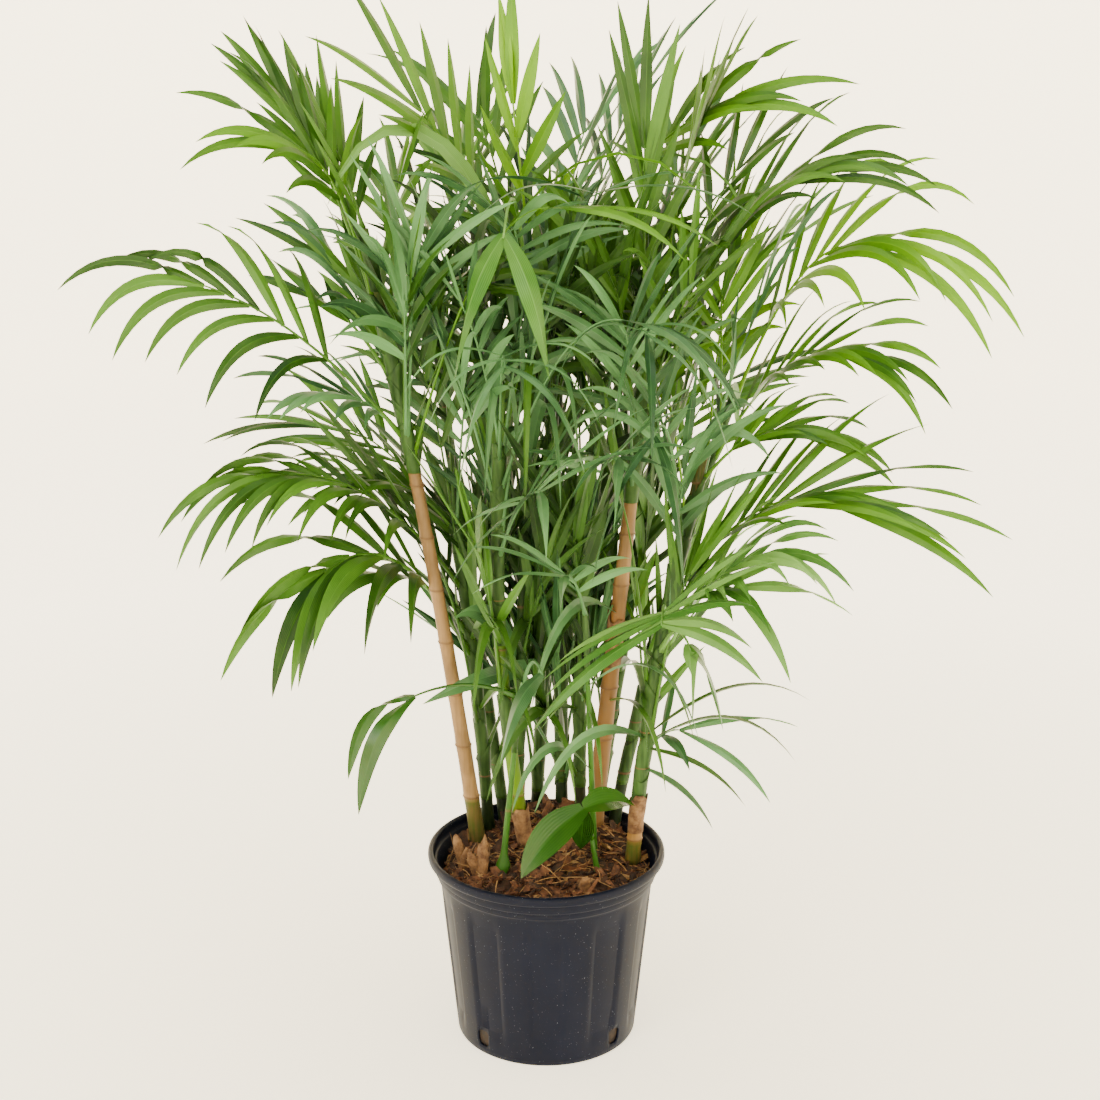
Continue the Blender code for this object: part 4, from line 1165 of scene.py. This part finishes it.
@dataclass
class CaneClump:
    """The canes of the clump, ringed by leaf scars, and the sheaths that carry the fronds."""

    sides: int = 20
    sheath_length: float = 0.060

    def stems(self) -> dict[str, Stem]:
        """Return each cane's axis."""
        return {name: Stem(name, cane) for name, cane in CANES.items()}

    def build(self, stems: dict[str, Stem], laid: list[Frond]) -> None:
        """Make the canes, and a sheath under each frond.

        Args:
            stems: The canes' axes.
            laid: The fronds.
        """
        woods = {wood: CaneFinish(wood.name.lower(), wood.value).material() for wood in Wood}
        for name, stem in stems.items():
            wood = stem.cane.wood
            slot = {Wood.LEFT_TAN: "cane_tan", Wood.RIGHT_TAN: "cane_tan", Wood.BRIGHT: "cane_bright",
                    Wood.LIGHT: "cane_light", Wood.OLIVE: "cane_olive"}.get(wood, "cane_green")
            seat(self.cane(name, stem, woods[wood]), slot, f"cane_{name}")
        green = SheathFinish("sheath_green", SHEATH_GREEN, tint(60, 92, 40)).material()
        for name, stem in stems.items():
            own = [frond for frond in laid if frond.cane == name and frond.level > stem.cane.bare]
            own.sort(key=lambda frond: frond.level)
            if name != "sprout" and own:
                seat(self.sheaths(name, stem, own, green), "cane_green")
        seat(self.husks(stems), "cane_tan")

    def husks(self, stems: dict[str, Stem]) -> bpy.types.Object:
        """Make the dry husks round the feet of the canes, and the stumps between them."""
        rng = np.random.default_rng(SEED + 2)
        bm = bmesh.new()
        for husk in HUSKS:
            start = len(bm.verts)
            bmesh.ops.create_cone(bm, cap_ends=False, segments=16, radius1=1.0, radius2=1.0, depth=1.0)
            bm.verts.ensure_lookup_table()
            for row in range(1, 5):
                geom = [e for e in bm.verts[:] + bm.edges[:] + bm.faces[:] if self.newer(e, start)]
                bmesh.ops.bisect_plane(bm, geom=geom, plane_co=(0, 0, row / 5 - 0.5), plane_no=(0, 0, 1))
                bm.verts.ensure_lookup_table()
            foot, mouth = np.array(husk.foot), np.array(husk.mouth)
            first = rng.uniform(0.0, math.tau)
            for vert in bm.verts[start:]:
                t = vert.co.z + 0.5
                angle = math.atan2(vert.co.y, vert.co.x)
                tear = 0.16 * math.cos(angle - first) + 0.12 * math.cos(3.0 * angle + first) + rng.uniform(-0.10, 0.10)
                t += max(t - 0.35, 0.0) * tear * (1.0 if husk.cane else 2.4)
                centre = foot + (mouth - foot) * t
                radius = husk.radii[0] + (husk.radii[1] - husk.radii[0]) * t ** 2
                if husk.cane:
                    stem = stems[husk.cane]
                    centre = stem.centre(centre[2])
                    radius += stem.radius(centre[2])
                radius *= 1.0 + rng.uniform(-0.05, 0.05)
                vert.co = (centre[0] + radius * math.cos(angle), centre[1] + radius * math.sin(angle), centre[2])
        bmesh.ops.solidify(bm, geom=bm.faces[:], thickness=0.0005)
        return finish_bmesh("husks", bm, BarkFinish("husk", tint(76, 50, 28), tint(136, 102, 66)).material())

    @staticmethod
    def newer(element: object, start: int) -> bool:
        """Tell whether a point, an edge or a face has only points from a number on."""
        verts = [element] if isinstance(element, bmesh.types.BMVert) else element.verts
        return all(vert.index >= start for vert in verts)

    def relief(self, stem: Stem, z: float, rings: np.ndarray) -> float:
        """Return how far the skin stands out at a height: a ridge at each scar, and the foot's bulb."""
        off = z - rings
        thick = stem.cane.radius / 0.0085
        ridge = 0.0009 * thick * np.exp(-(off / 0.0010) ** 2).sum() + 0.0005 * thick * np.exp(-(off / 0.007) ** 2).sum()
        bulb = stem.cane.bulb * math.exp(-((z - stem.foot_z - 0.008) / 0.010) ** 2)
        flare = 0.0012 * thick * math.exp(-(z - stem.foot_z) / 0.012)
        return float(ridge + bulb + flare)

    def cane(self, name: str, stem: Stem, material: bpy.types.Material) -> bpy.types.Object:
        """Spin a cane's profile, then slide each level along its bowed axis.

        Args:
            name: The cane's name.
            stem: Its axis.
            material: Its finish.

        Returns:
            The cane.
        """
        rings = np.array(stem.rings() or [9.0])
        top = stem.cane.height
        heights = set(np.linspace(stem.foot_z, top, int((top - stem.foot_z) / 0.006)))
        heights |= {ring + step for ring in rings if ring < 5.0 for step in (-0.002, -0.001, 0.0, 0.001, 0.002)}
        heights = sorted(height for height in heights if stem.foot_z <= height <= top)
        bm = bmesh.new()
        profile = [bm.verts.new((0, 0, heights[0]))]
        profile += [bm.verts.new((stem.radius(z) + self.relief(stem, z, rings), 0, z)) for z in heights]
        profile.append(bm.verts.new((0, 0, heights[-1])))
        edges = [bm.edges.new(pair) for pair in zip(profile, profile[1:])]
        spin_round(bm, profile + edges, self.sides)
        for vert in bm.verts:
            vert.co += Vector(stem.centre(vert.co.z)) - Vector((0, 0, vert.co.z))
        piece = finish_bmesh(f"ringed_{name}", bm, material)
        scar = piece.data.attributes.new("scar", "FLOAT", "POINT")
        z = np.array([vert.co.z for vert in piece.data.vertices])[:, None]
        scar.data.foreach_set("value", np.exp(-((z - rings) / 0.0014) ** 2).sum(axis=1))
        return piece

    def sheaths(self, name: str, stem: Stem, own: list[Frond],
                material: bpy.types.Material) -> bpy.types.Object:
        """Wrap the cane, under each frond, in the sheath that the frond's stalk grows from.

        Args:
            name: The cane's name.
            stem: Its axis.
            own: Its fronds.
            material: The sheaths' finish.

        Returns:
            The sheaths as one piece.
        """
        bm = bmesh.new()
        rows = 10
        for number, frond in enumerate(own):
            mouth = min(frond.level, stem.cane.height - 0.002)
            foot = max(mouth - self.sheath_length, stem.foot_z + 0.03, stem.cane.bare - 0.01)
            start = len(bm.verts)
            profile = []
            for row in range(rows + 1):
                t = row / rows
                z = foot + (mouth - foot) * t
                stand = 0.0004 + 0.0009 * t ** 1.5 + 0.00012 * number
                profile.append(bm.verts.new((stem.radius(z) + stand, 0, z)))
            profile.append(bm.verts.new((stem.radius(mouth) + 0.0002, 0, mouth)))
            profile.insert(0, bm.verts.new((stem.radius(foot) - 0.0004, 0, foot)))
            edges = [bm.edges.new(pair) for pair in zip(profile, profile[1:])]
            spin_round(bm, profile + edges, self.sides, start)
            bm.verts.ensure_lookup_table()
            azimuth = math.radians(frond.azimuth)
            for vert in bm.verts[start:]:
                z = vert.co.z
                t = (z - foot) / (mouth - foot)
                facing = math.cos(math.atan2(vert.co.y, vert.co.x) - azimuth)
                lift = max(t - 0.55, 0.0) / 0.45
                centre = stem.centre(z)
                swell = 1.0 + 0.22 * lift * max(facing, 0.0)
                vert.co.x = vert.co.x * swell + centre[0]
                vert.co.y = vert.co.y * swell + centre[1]
                vert.co.z = z + 0.010 * lift ** 2 * (facing - 0.4)
        return finish_bmesh(f"sheaths_{name}", bm, material)


def spin_round(bm: bmesh.types.BMesh, geom: list, steps: int, start: int = 0) -> None:
    """Spin a profile all the way round Z and close its seam and its poles.

    Args:
        bm: The mesh that holds the profile.
        geom: The profile's points and edges.
        steps: Sides of the turned shape.
        start: The first point of this shape, so that others in the mesh are left alone.
    """
    bmesh.ops.spin(bm, geom=geom, cent=(0, 0, 0), axis=(0, 0, 1), angle=math.tau, steps=steps, use_merge=True)
    bm.verts.ensure_lookup_table()
    bmesh.ops.remove_doubles(bm, verts=bm.verts[start:], dist=0.00002)


@dataclass
class NurseryPot:
    """The turned nursery pot: rolled lip, stepped collar, shallow flutes and four drain holes."""

    sides: int = 200
    flutes: int = 10
    flute_depth: float = 0.0028
    flute_phase: float = math.radians(27.0)
    flute_low: float = 0.028
    flute_high: float = 0.168
    holes: int = 4
    first_hole: float = math.radians(-43.0)
    hole_size: float = 0.020
    hole_height: float = 0.019
    base_radius: float = 0.097
    profile: tuple[tuple[float, float], ...] = (
        (0.0, 0.0), (0.070, 0.0), (0.0945, 0.0), (0.0962, 0.0006), (0.0970, 0.0022), (0.0974, 0.006),
        (0.0982, 0.014), (0.0992, 0.024), (0.1002, 0.034), (0.1021, 0.054), (0.1040, 0.074), (0.1060, 0.094),
        (0.1080, 0.114), (0.1099, 0.134), (0.1118, 0.154), (0.1132, 0.168), (0.1141, 0.1765), (0.1147, 0.1790),
        (0.1166, 0.1806), (0.1174, 0.1816), (0.1177, 0.1862), (0.1178, 0.1878), (0.1196, 0.1884), (0.1203, 0.1892),
        (0.1207, 0.1938), (0.1208, 0.1985), (0.1212, 0.1992), (0.1244, 0.1994), (0.1260, 0.1999), (0.1268, 0.2012),
        (0.1271, 0.2035), (0.1270, 0.2060), (0.1265, 0.2078), (0.1254, 0.2090), (0.1240, 0.2095), (0.1226, 0.2093),
        (0.1214, 0.2084), (0.1208, 0.2068), (0.1204, 0.2040), (0.1196, 0.1990), (0.1180, 0.1984), (0.1170, 0.1978),
        (0.1160, 0.1880), (0.1140, 0.1872), (0.1126, 0.1820), (0.1090, 0.146), (0.1048, 0.104), (0.1006, 0.062),
        (0.0966, 0.022), (0.0950, 0.0045), (0.0935, 0.003), (0.0, 0.003))

    def build(self) -> bpy.types.Object:
        """Spin the pot, press in its flutes and cut its drain holes.

        Returns:
            The pot.
        """
        bm = bmesh.new()
        verts = [bm.verts.new((radius, 0, z)) for radius, z in self.profile]
        edges = [bm.edges.new(pair) for pair in zip(verts, verts[1:])]
        spin_round(bm, verts + edges, self.sides)
        for vert in bm.verts:
            self.press_flute(vert)
        pot = finish_bmesh("fluted_pot", bm, PlasticFinish().material())
        for i in range(self.holes):
            self.cut_hole(pot, self.first_hole + i * math.tau / self.holes)
        seat(pot, "pot_plastic", "pot")
        return pot

    def press_flute(self, vert: bmesh.types.BMVert) -> None:
        """Press a point of the outer wall in where a flute runs."""
        radius = math.hypot(vert.co.x, vert.co.y)
        low, high = self.flute_low, self.flute_high
        if not low - 0.01 <= vert.co.z <= high + 0.004 or radius < 0.0995 + 0.1 * (vert.co.z - low) * 0.9 - 0.001:
            return
        angle = math.atan2(vert.co.x, -vert.co.y) - self.flute_phase
        wave = 0.5 + 0.5 * math.tanh(12.0 * math.sin(self.flutes * angle))
        fade = min(max((vert.co.z - low + 0.008) / 0.012, 0.0), 1.0) * min(max((high + 0.004 - vert.co.z) / 0.02, 0.0), 1.0)
        share = 1.0 - self.flute_depth * wave * fade / radius
        vert.co.x *= share
        vert.co.y *= share

    def cut_hole(self, pot: bpy.types.Object, angle: float) -> None:
        """Cut one round-cornered drain hole through the wall."""
        bm = bmesh.new()
        bmesh.ops.create_cube(bm, size=self.hole_size)
        bmesh.ops.scale(bm, verts=bm.verts[:], vec=(1.0, 0.72, 0.92))
        radial = [edge for edge in bm.edges if abs(edge.verts[0].co.x - edge.verts[1].co.x) > 0.005]
        bmesh.ops.bevel(bm, geom=radial, offset=0.0048, segments=5, profile=0.5, affect="EDGES", material=-1)
        place = Matrix.Rotation(angle, 4, "Z") @ Matrix.Translation((self.base_radius, 0, self.hole_height))
        bmesh.ops.transform(bm, matrix=place, verts=bm.verts[:])
        cutter = finish_bmesh("drain_cutter", bm, pot.data.materials[0])
        cut = pot.modifiers.new("drain", "BOOLEAN")
        cut.operation = "DIFFERENCE"
        cut.object = cutter
        with bpy.context.temp_override(object=pot, active_object=pot, selected_objects=[pot]):
            bpy.ops.object.modifier_apply(modifier=cut.name)
        bpy.data.objects.remove(cutter, do_unlink=True)


@dataclass
class BarkBed:
    """The bark mix: its heaped bed, torn bark flakes, fine roots, straws and old husks."""

    edge: float = 0.181
    crown: float = 0.010
    heap: float = 0.036
    heap_centre: tuple[float, float] = (0.022, 0.076)
    heap_spread: tuple[float, float] = (0.062, 0.045)
    rim: float = 0.1118
    low_radius: float = 0.0945
    floor: float = 0.0034
    flakes: int = 1500
    roots: int = 420
    straws: int = 70

    def height(self, x: float, y: float) -> float:
        """Return the bed's height at x and y, by the solid's rule."""
        share = min(math.hypot(x, y) / self.rim, 1.0)
        dx = (x - self.heap_centre[0]) / self.heap_spread[0]
        dy = (y - self.heap_centre[1]) / self.heap_spread[1]
        heap = self.heap * math.exp(-dx * dx - dy * dy) * (1.0 - share ** 8)
        return self.edge + self.crown * (1.0 - share ** 4) + heap

    def build(self) -> None:
        """Make the bed and everything that lies on it."""
        rng = np.random.default_rng(SEED + 1)
        seat(self.bed(), "bark_mix", "growing_mix")
        dark = BarkFinish("bark_dark", tint(30, 18, 10), tint(74, 46, 28)).material()
        red = BarkFinish("bark_red", tint(62, 36, 20), tint(122, 80, 50)).material()
        pale = BarkFinish("bark_pale", tint(118, 84, 46), tint(182, 144, 96)).material()
        kinds = [Template.flake(rng) for _ in range(8)]
        for name, material, count, size in (("dark", dark, 0.50, 0.0085), ("red", red, 0.42, 0.0090),
                                            ("pale", pale, 0.08, 0.0080)):
            seat(self.scatter(f"flakes_{name}", material, int(self.flakes * count), size, kinds, rng), "bark_mix")
        seat(self.threads("fine_roots", pale, self.roots, 0.00045, 0.030, rng), "bark_mix")
        seat(self.threads("straws", pale, self.straws, 0.00075, 0.042, rng, curl=0.15), "bark_mix")

    def bed(self) -> bpy.types.Object:
        """Spin the bed's section and heap up its rough top."""
        bm = bmesh.new()
        rings = 34
        section = [(0.0, self.floor), (self.low_radius, self.floor)]
        section += [(self.rim * (1.0 - i / rings), self.edge) for i in range(rings + 1)]
        verts = [bm.verts.new((radius, 0, z)) for radius, z in section]
        edges = [bm.edges.new(pair) for pair in zip(verts, verts[1:])]
        spin_round(bm, verts + edges, 120)
        for vert in bm.verts:
            if vert.co.z > self.edge - 0.0001:
                x, y = vert.co.x, vert.co.y
                rough = noise.noise(Vector((x, y, 0.0)) * 95.0) * 0.0028 + noise.noise(Vector((x, y, 0.5)) * 260.0) * 0.0014
                vert.co.z = self.height(x, y) + rough - 0.0015
        return finish_bmesh("bark_bed", bm, BarkFinish("bark_bed", tint(18, 12, 8), tint(54, 34, 20)).material())

    def spot(self, rng: np.random.Generator) -> tuple[float, float]:
        """Pick a place on the bed."""
        radius = (self.rim - 0.004) * math.sqrt(rng.uniform(0.0, 1.0))
        angle = rng.uniform(0.0, math.tau)
        return radius * math.cos(angle), radius * math.sin(angle)

    def scatter(self, name: str, material: bpy.types.Material, count: int, size: float,
                kinds: list[Template], rng: np.random.Generator) -> bpy.types.Object:
        """Strew flakes of bark over the bed.

        Args:
            name: The piece's name.
            material: Its finish.
            count: How many flakes.
            size: Half of a middling flake's length.
            kinds: The flakes to choose from.
            rng: The source of places and turns.

        Returns:
            The flakes as one piece.
        """
        stock = Stock()
        for _ in range(count):
            kind = kinds[rng.integers(len(kinds))]
            x, y = self.spot(rng)
            turn = Matrix.Rotation(rng.uniform(0, math.tau), 3, "Z")
            turn = turn @ Matrix.Rotation(rng.normal(0.0, 0.42), 3, "Y") @ Matrix.Rotation(rng.normal(0.0, 0.5), 3, "X")
            length = size * rng.lognormal(0.0, 0.35)
            points = kind.points @ np.array(turn).T * min(length, 0.017)
            room = self.rim - 0.001
            lift = rng.uniform(-0.001, 0.0035)
            points = points + np.array([x, y, self.height(x, y) + lift])
            far = np.linalg.norm(points[:, :2], axis=1, keepdims=True)
            points[:, :2] *= np.minimum(1.0, room / np.maximum(far, 1e-6))
            stock.add(kind, points, kind.points[:, :2] * 0.5 + 0.5)
        return stock.make(name, material, smooth=False)

    def threads(self, name: str, material: bpy.types.Material, count: int, radius: float, length: float,
                rng: np.random.Generator, curl: float = 1.0) -> bpy.types.Object:
        """Lay thin roots or straws over the bed.

        Args:
            name: The piece's name.
            material: Its finish.
            count: How many.
            radius: Their radius.
            length: A middling one's length.
            rng: The source of places and bends.
            curl: How much they bend.

        Returns:
            The threads as one piece.
        """
        stock = Stock()
        tube = Template.tube(5, 7)
        for _ in range(count):
            x, y = self.spot(rng)
            way = rng.uniform(0.0, math.tau)
            pitch = rng.normal(0.12, 0.25)
            bend = rng.normal(0.0, 1.2) * curl
            run = length * rng.uniform(0.5, 1.5) / 7.0
            line = [np.array([x, y, self.height(x, y) + rng.uniform(0.0005, 0.004)])]
            for i in range(7):
                way += bend / 7.0 + rng.normal(0.0, 0.22) * curl
                last = line[-1] + run * np.array([math.cos(way), math.sin(way), math.sin(pitch - 0.09 * i)])
                reach = math.hypot(last[0], last[1])
                if reach > self.rim - 0.001:
                    last[:2] *= (self.rim - 0.001) / reach
                last[2] = min(max(last[2], self.height(last[0], last[1]) + 0.0006), self.height(last[0], last[1]) + 0.012)
                line.append(last)
            line = np.array(line)
            if np.linalg.norm(np.diff(line, axis=0), axis=1).min() > 1e-4:
                lay_tube(stock, tube, line, np.linspace(radius, radius * 0.55, 8))
        return stock.make(name, material)


@dataclass
class Studio:
    """The plain cream studio: a floor that sweeps up behind the plant and glows as painted light, soft lights and the
    camera.
    """

    camera_place: tuple[float, float, float] = (0.004, -1.9, 1.10)
    pitch: float = math.radians(16.4)
    lens: float = 63.16
    cream: tuple[float, float, float] = tint(255, 246, 224)

    def build(self) -> None:
        """Set up the camera, the lights, the world and the sweep."""
        self.camera()
        self.sweep()
        self.light("key", (-1.6, -2.4, 3.0), 1.8, 66.0)
        self.light("fill", (2.2, -2.0, 2.0), 2.6, 14.0)
        self.light("top", (0.0, 0.6, 3.4), 2.2, 36.0)
        world = bpy.data.worlds.new("studio")
        world.use_nodes = True
        background = world.node_tree.nodes["Background"]
        background.inputs["Color"].default_value = (1.0, 0.985, 0.96, 1.0)
        background.inputs["Strength"].default_value = 0.25
        bpy.context.scene.world = world

    def camera(self) -> None:
        """Place the camera at the photograph's angle."""
        data = bpy.data.cameras.new("studio_camera")
        data.lens = self.lens
        data.sensor_width = 36.0
        camera = bpy.data.objects.new("studio_camera", data)
        camera.location = self.camera_place
        camera.rotation_euler = (math.pi / 2.0 - self.pitch, 0.0, 0.0)
        bpy.context.scene.collection.objects.link(camera)
        bpy.context.scene.camera = camera

    def light(self, name: str, place: tuple[float, float, float], size: float, power: float) -> None:
        """Add a large soft light that looks at the plant."""
        data = bpy.data.lights.new(name, "AREA")
        data.shape = "DISK"
        data.size = size
        data.energy = power
        data.color = (1.0, 0.985, 0.965)
        light = bpy.data.objects.new(name, data)
        light.location = place
        aim = Vector((0.0, 0.0, 0.55)) - Vector(place)
        light.rotation_euler = aim.to_track_quat("-Z", "Y").to_euler()
        bpy.context.scene.collection.objects.link(light)

    def sweep(self) -> None:
        """Make the floor and the backdrop as one round sweep that glows: painted light, dimmer round the pot as a
        painted shadow and fading up the backdrop.
        """
        bm = bmesh.new()
        bend, reach = 1.6, 4.0
        section = [(0.0, 0.0), (reach * 0.5, 0.0), (reach, 0.0)]
        section += [(reach + bend * math.sin(a), bend - bend * math.cos(a)) for a in np.linspace(0.1, math.pi / 2, 12)]
        section += [(reach + bend, 3.0), (reach + bend, 5.0)]
        verts = [bm.verts.new((radius, 0, z)) for radius, z in section]
        edges = [bm.edges.new(pair) for pair in zip(verts, verts[1:])]
        spin_round(bm, verts + edges, 96)
        sheet = MaterialSheet("studio_cream")
        shade = sheet.noise(scale=0.8, detail=0.0)
        tone = sheet.mix(sheet.ramp(shade, 0.3, 0.7), self.cream, tuple(channel * 0.995 for channel in self.cream))
        sheet.link(tone, sheet.shader.inputs["Base Color"])
        sheet.shader.inputs["Roughness"].default_value = 0.9
        sheet.shader.inputs["Specular IOR Level"].default_value = 0.0
        sheet.shader.inputs["Emission Color"].default_value = (*self.cream, 1.0)
        distance = sheet.node("ShaderNodeVectorMath")
        distance.operation = "LENGTH"
        sheet.link(sheet.place, distance.inputs[0])
        split = sheet.node("ShaderNodeSeparateXYZ")
        sheet.link(sheet.place, split.inputs["Vector"])
        # Painted glow: dim round the pot for a painted shadow there, brighter out on the floor, fading again up the
        # backdrop
        glow = sheet.math("MULTIPLY", sheet.ramp(distance.outputs["Value"], 0.2, 1.7), 1.20)
        high = sheet.math("MULTIPLY", sheet.ramp(split.outputs["Z"], 1.25, 1.70), 2.20)
        glow = sheet.math("ADD", sheet.math("SUBTRACT", glow, high), 1.60)
        sheet.link(glow, sheet.shader.inputs["Emission Strength"])
        finish_bmesh("studio_sweep", bm, sheet.material)


def main() -> None:
    """Load the solids, dress them and set up the studio."""
    logging.basicConfig(level=logging.INFO, format="%(name)s %(message)s")
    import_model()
    NurseryPot().build()
    BarkBed().build()
    clump = CaneClump()
    stems = clump.stems()
    laid = Foliage(stems).build()
    clump.build(stems, laid)
    Studio().build()


if __name__ == "__main__":
    main()
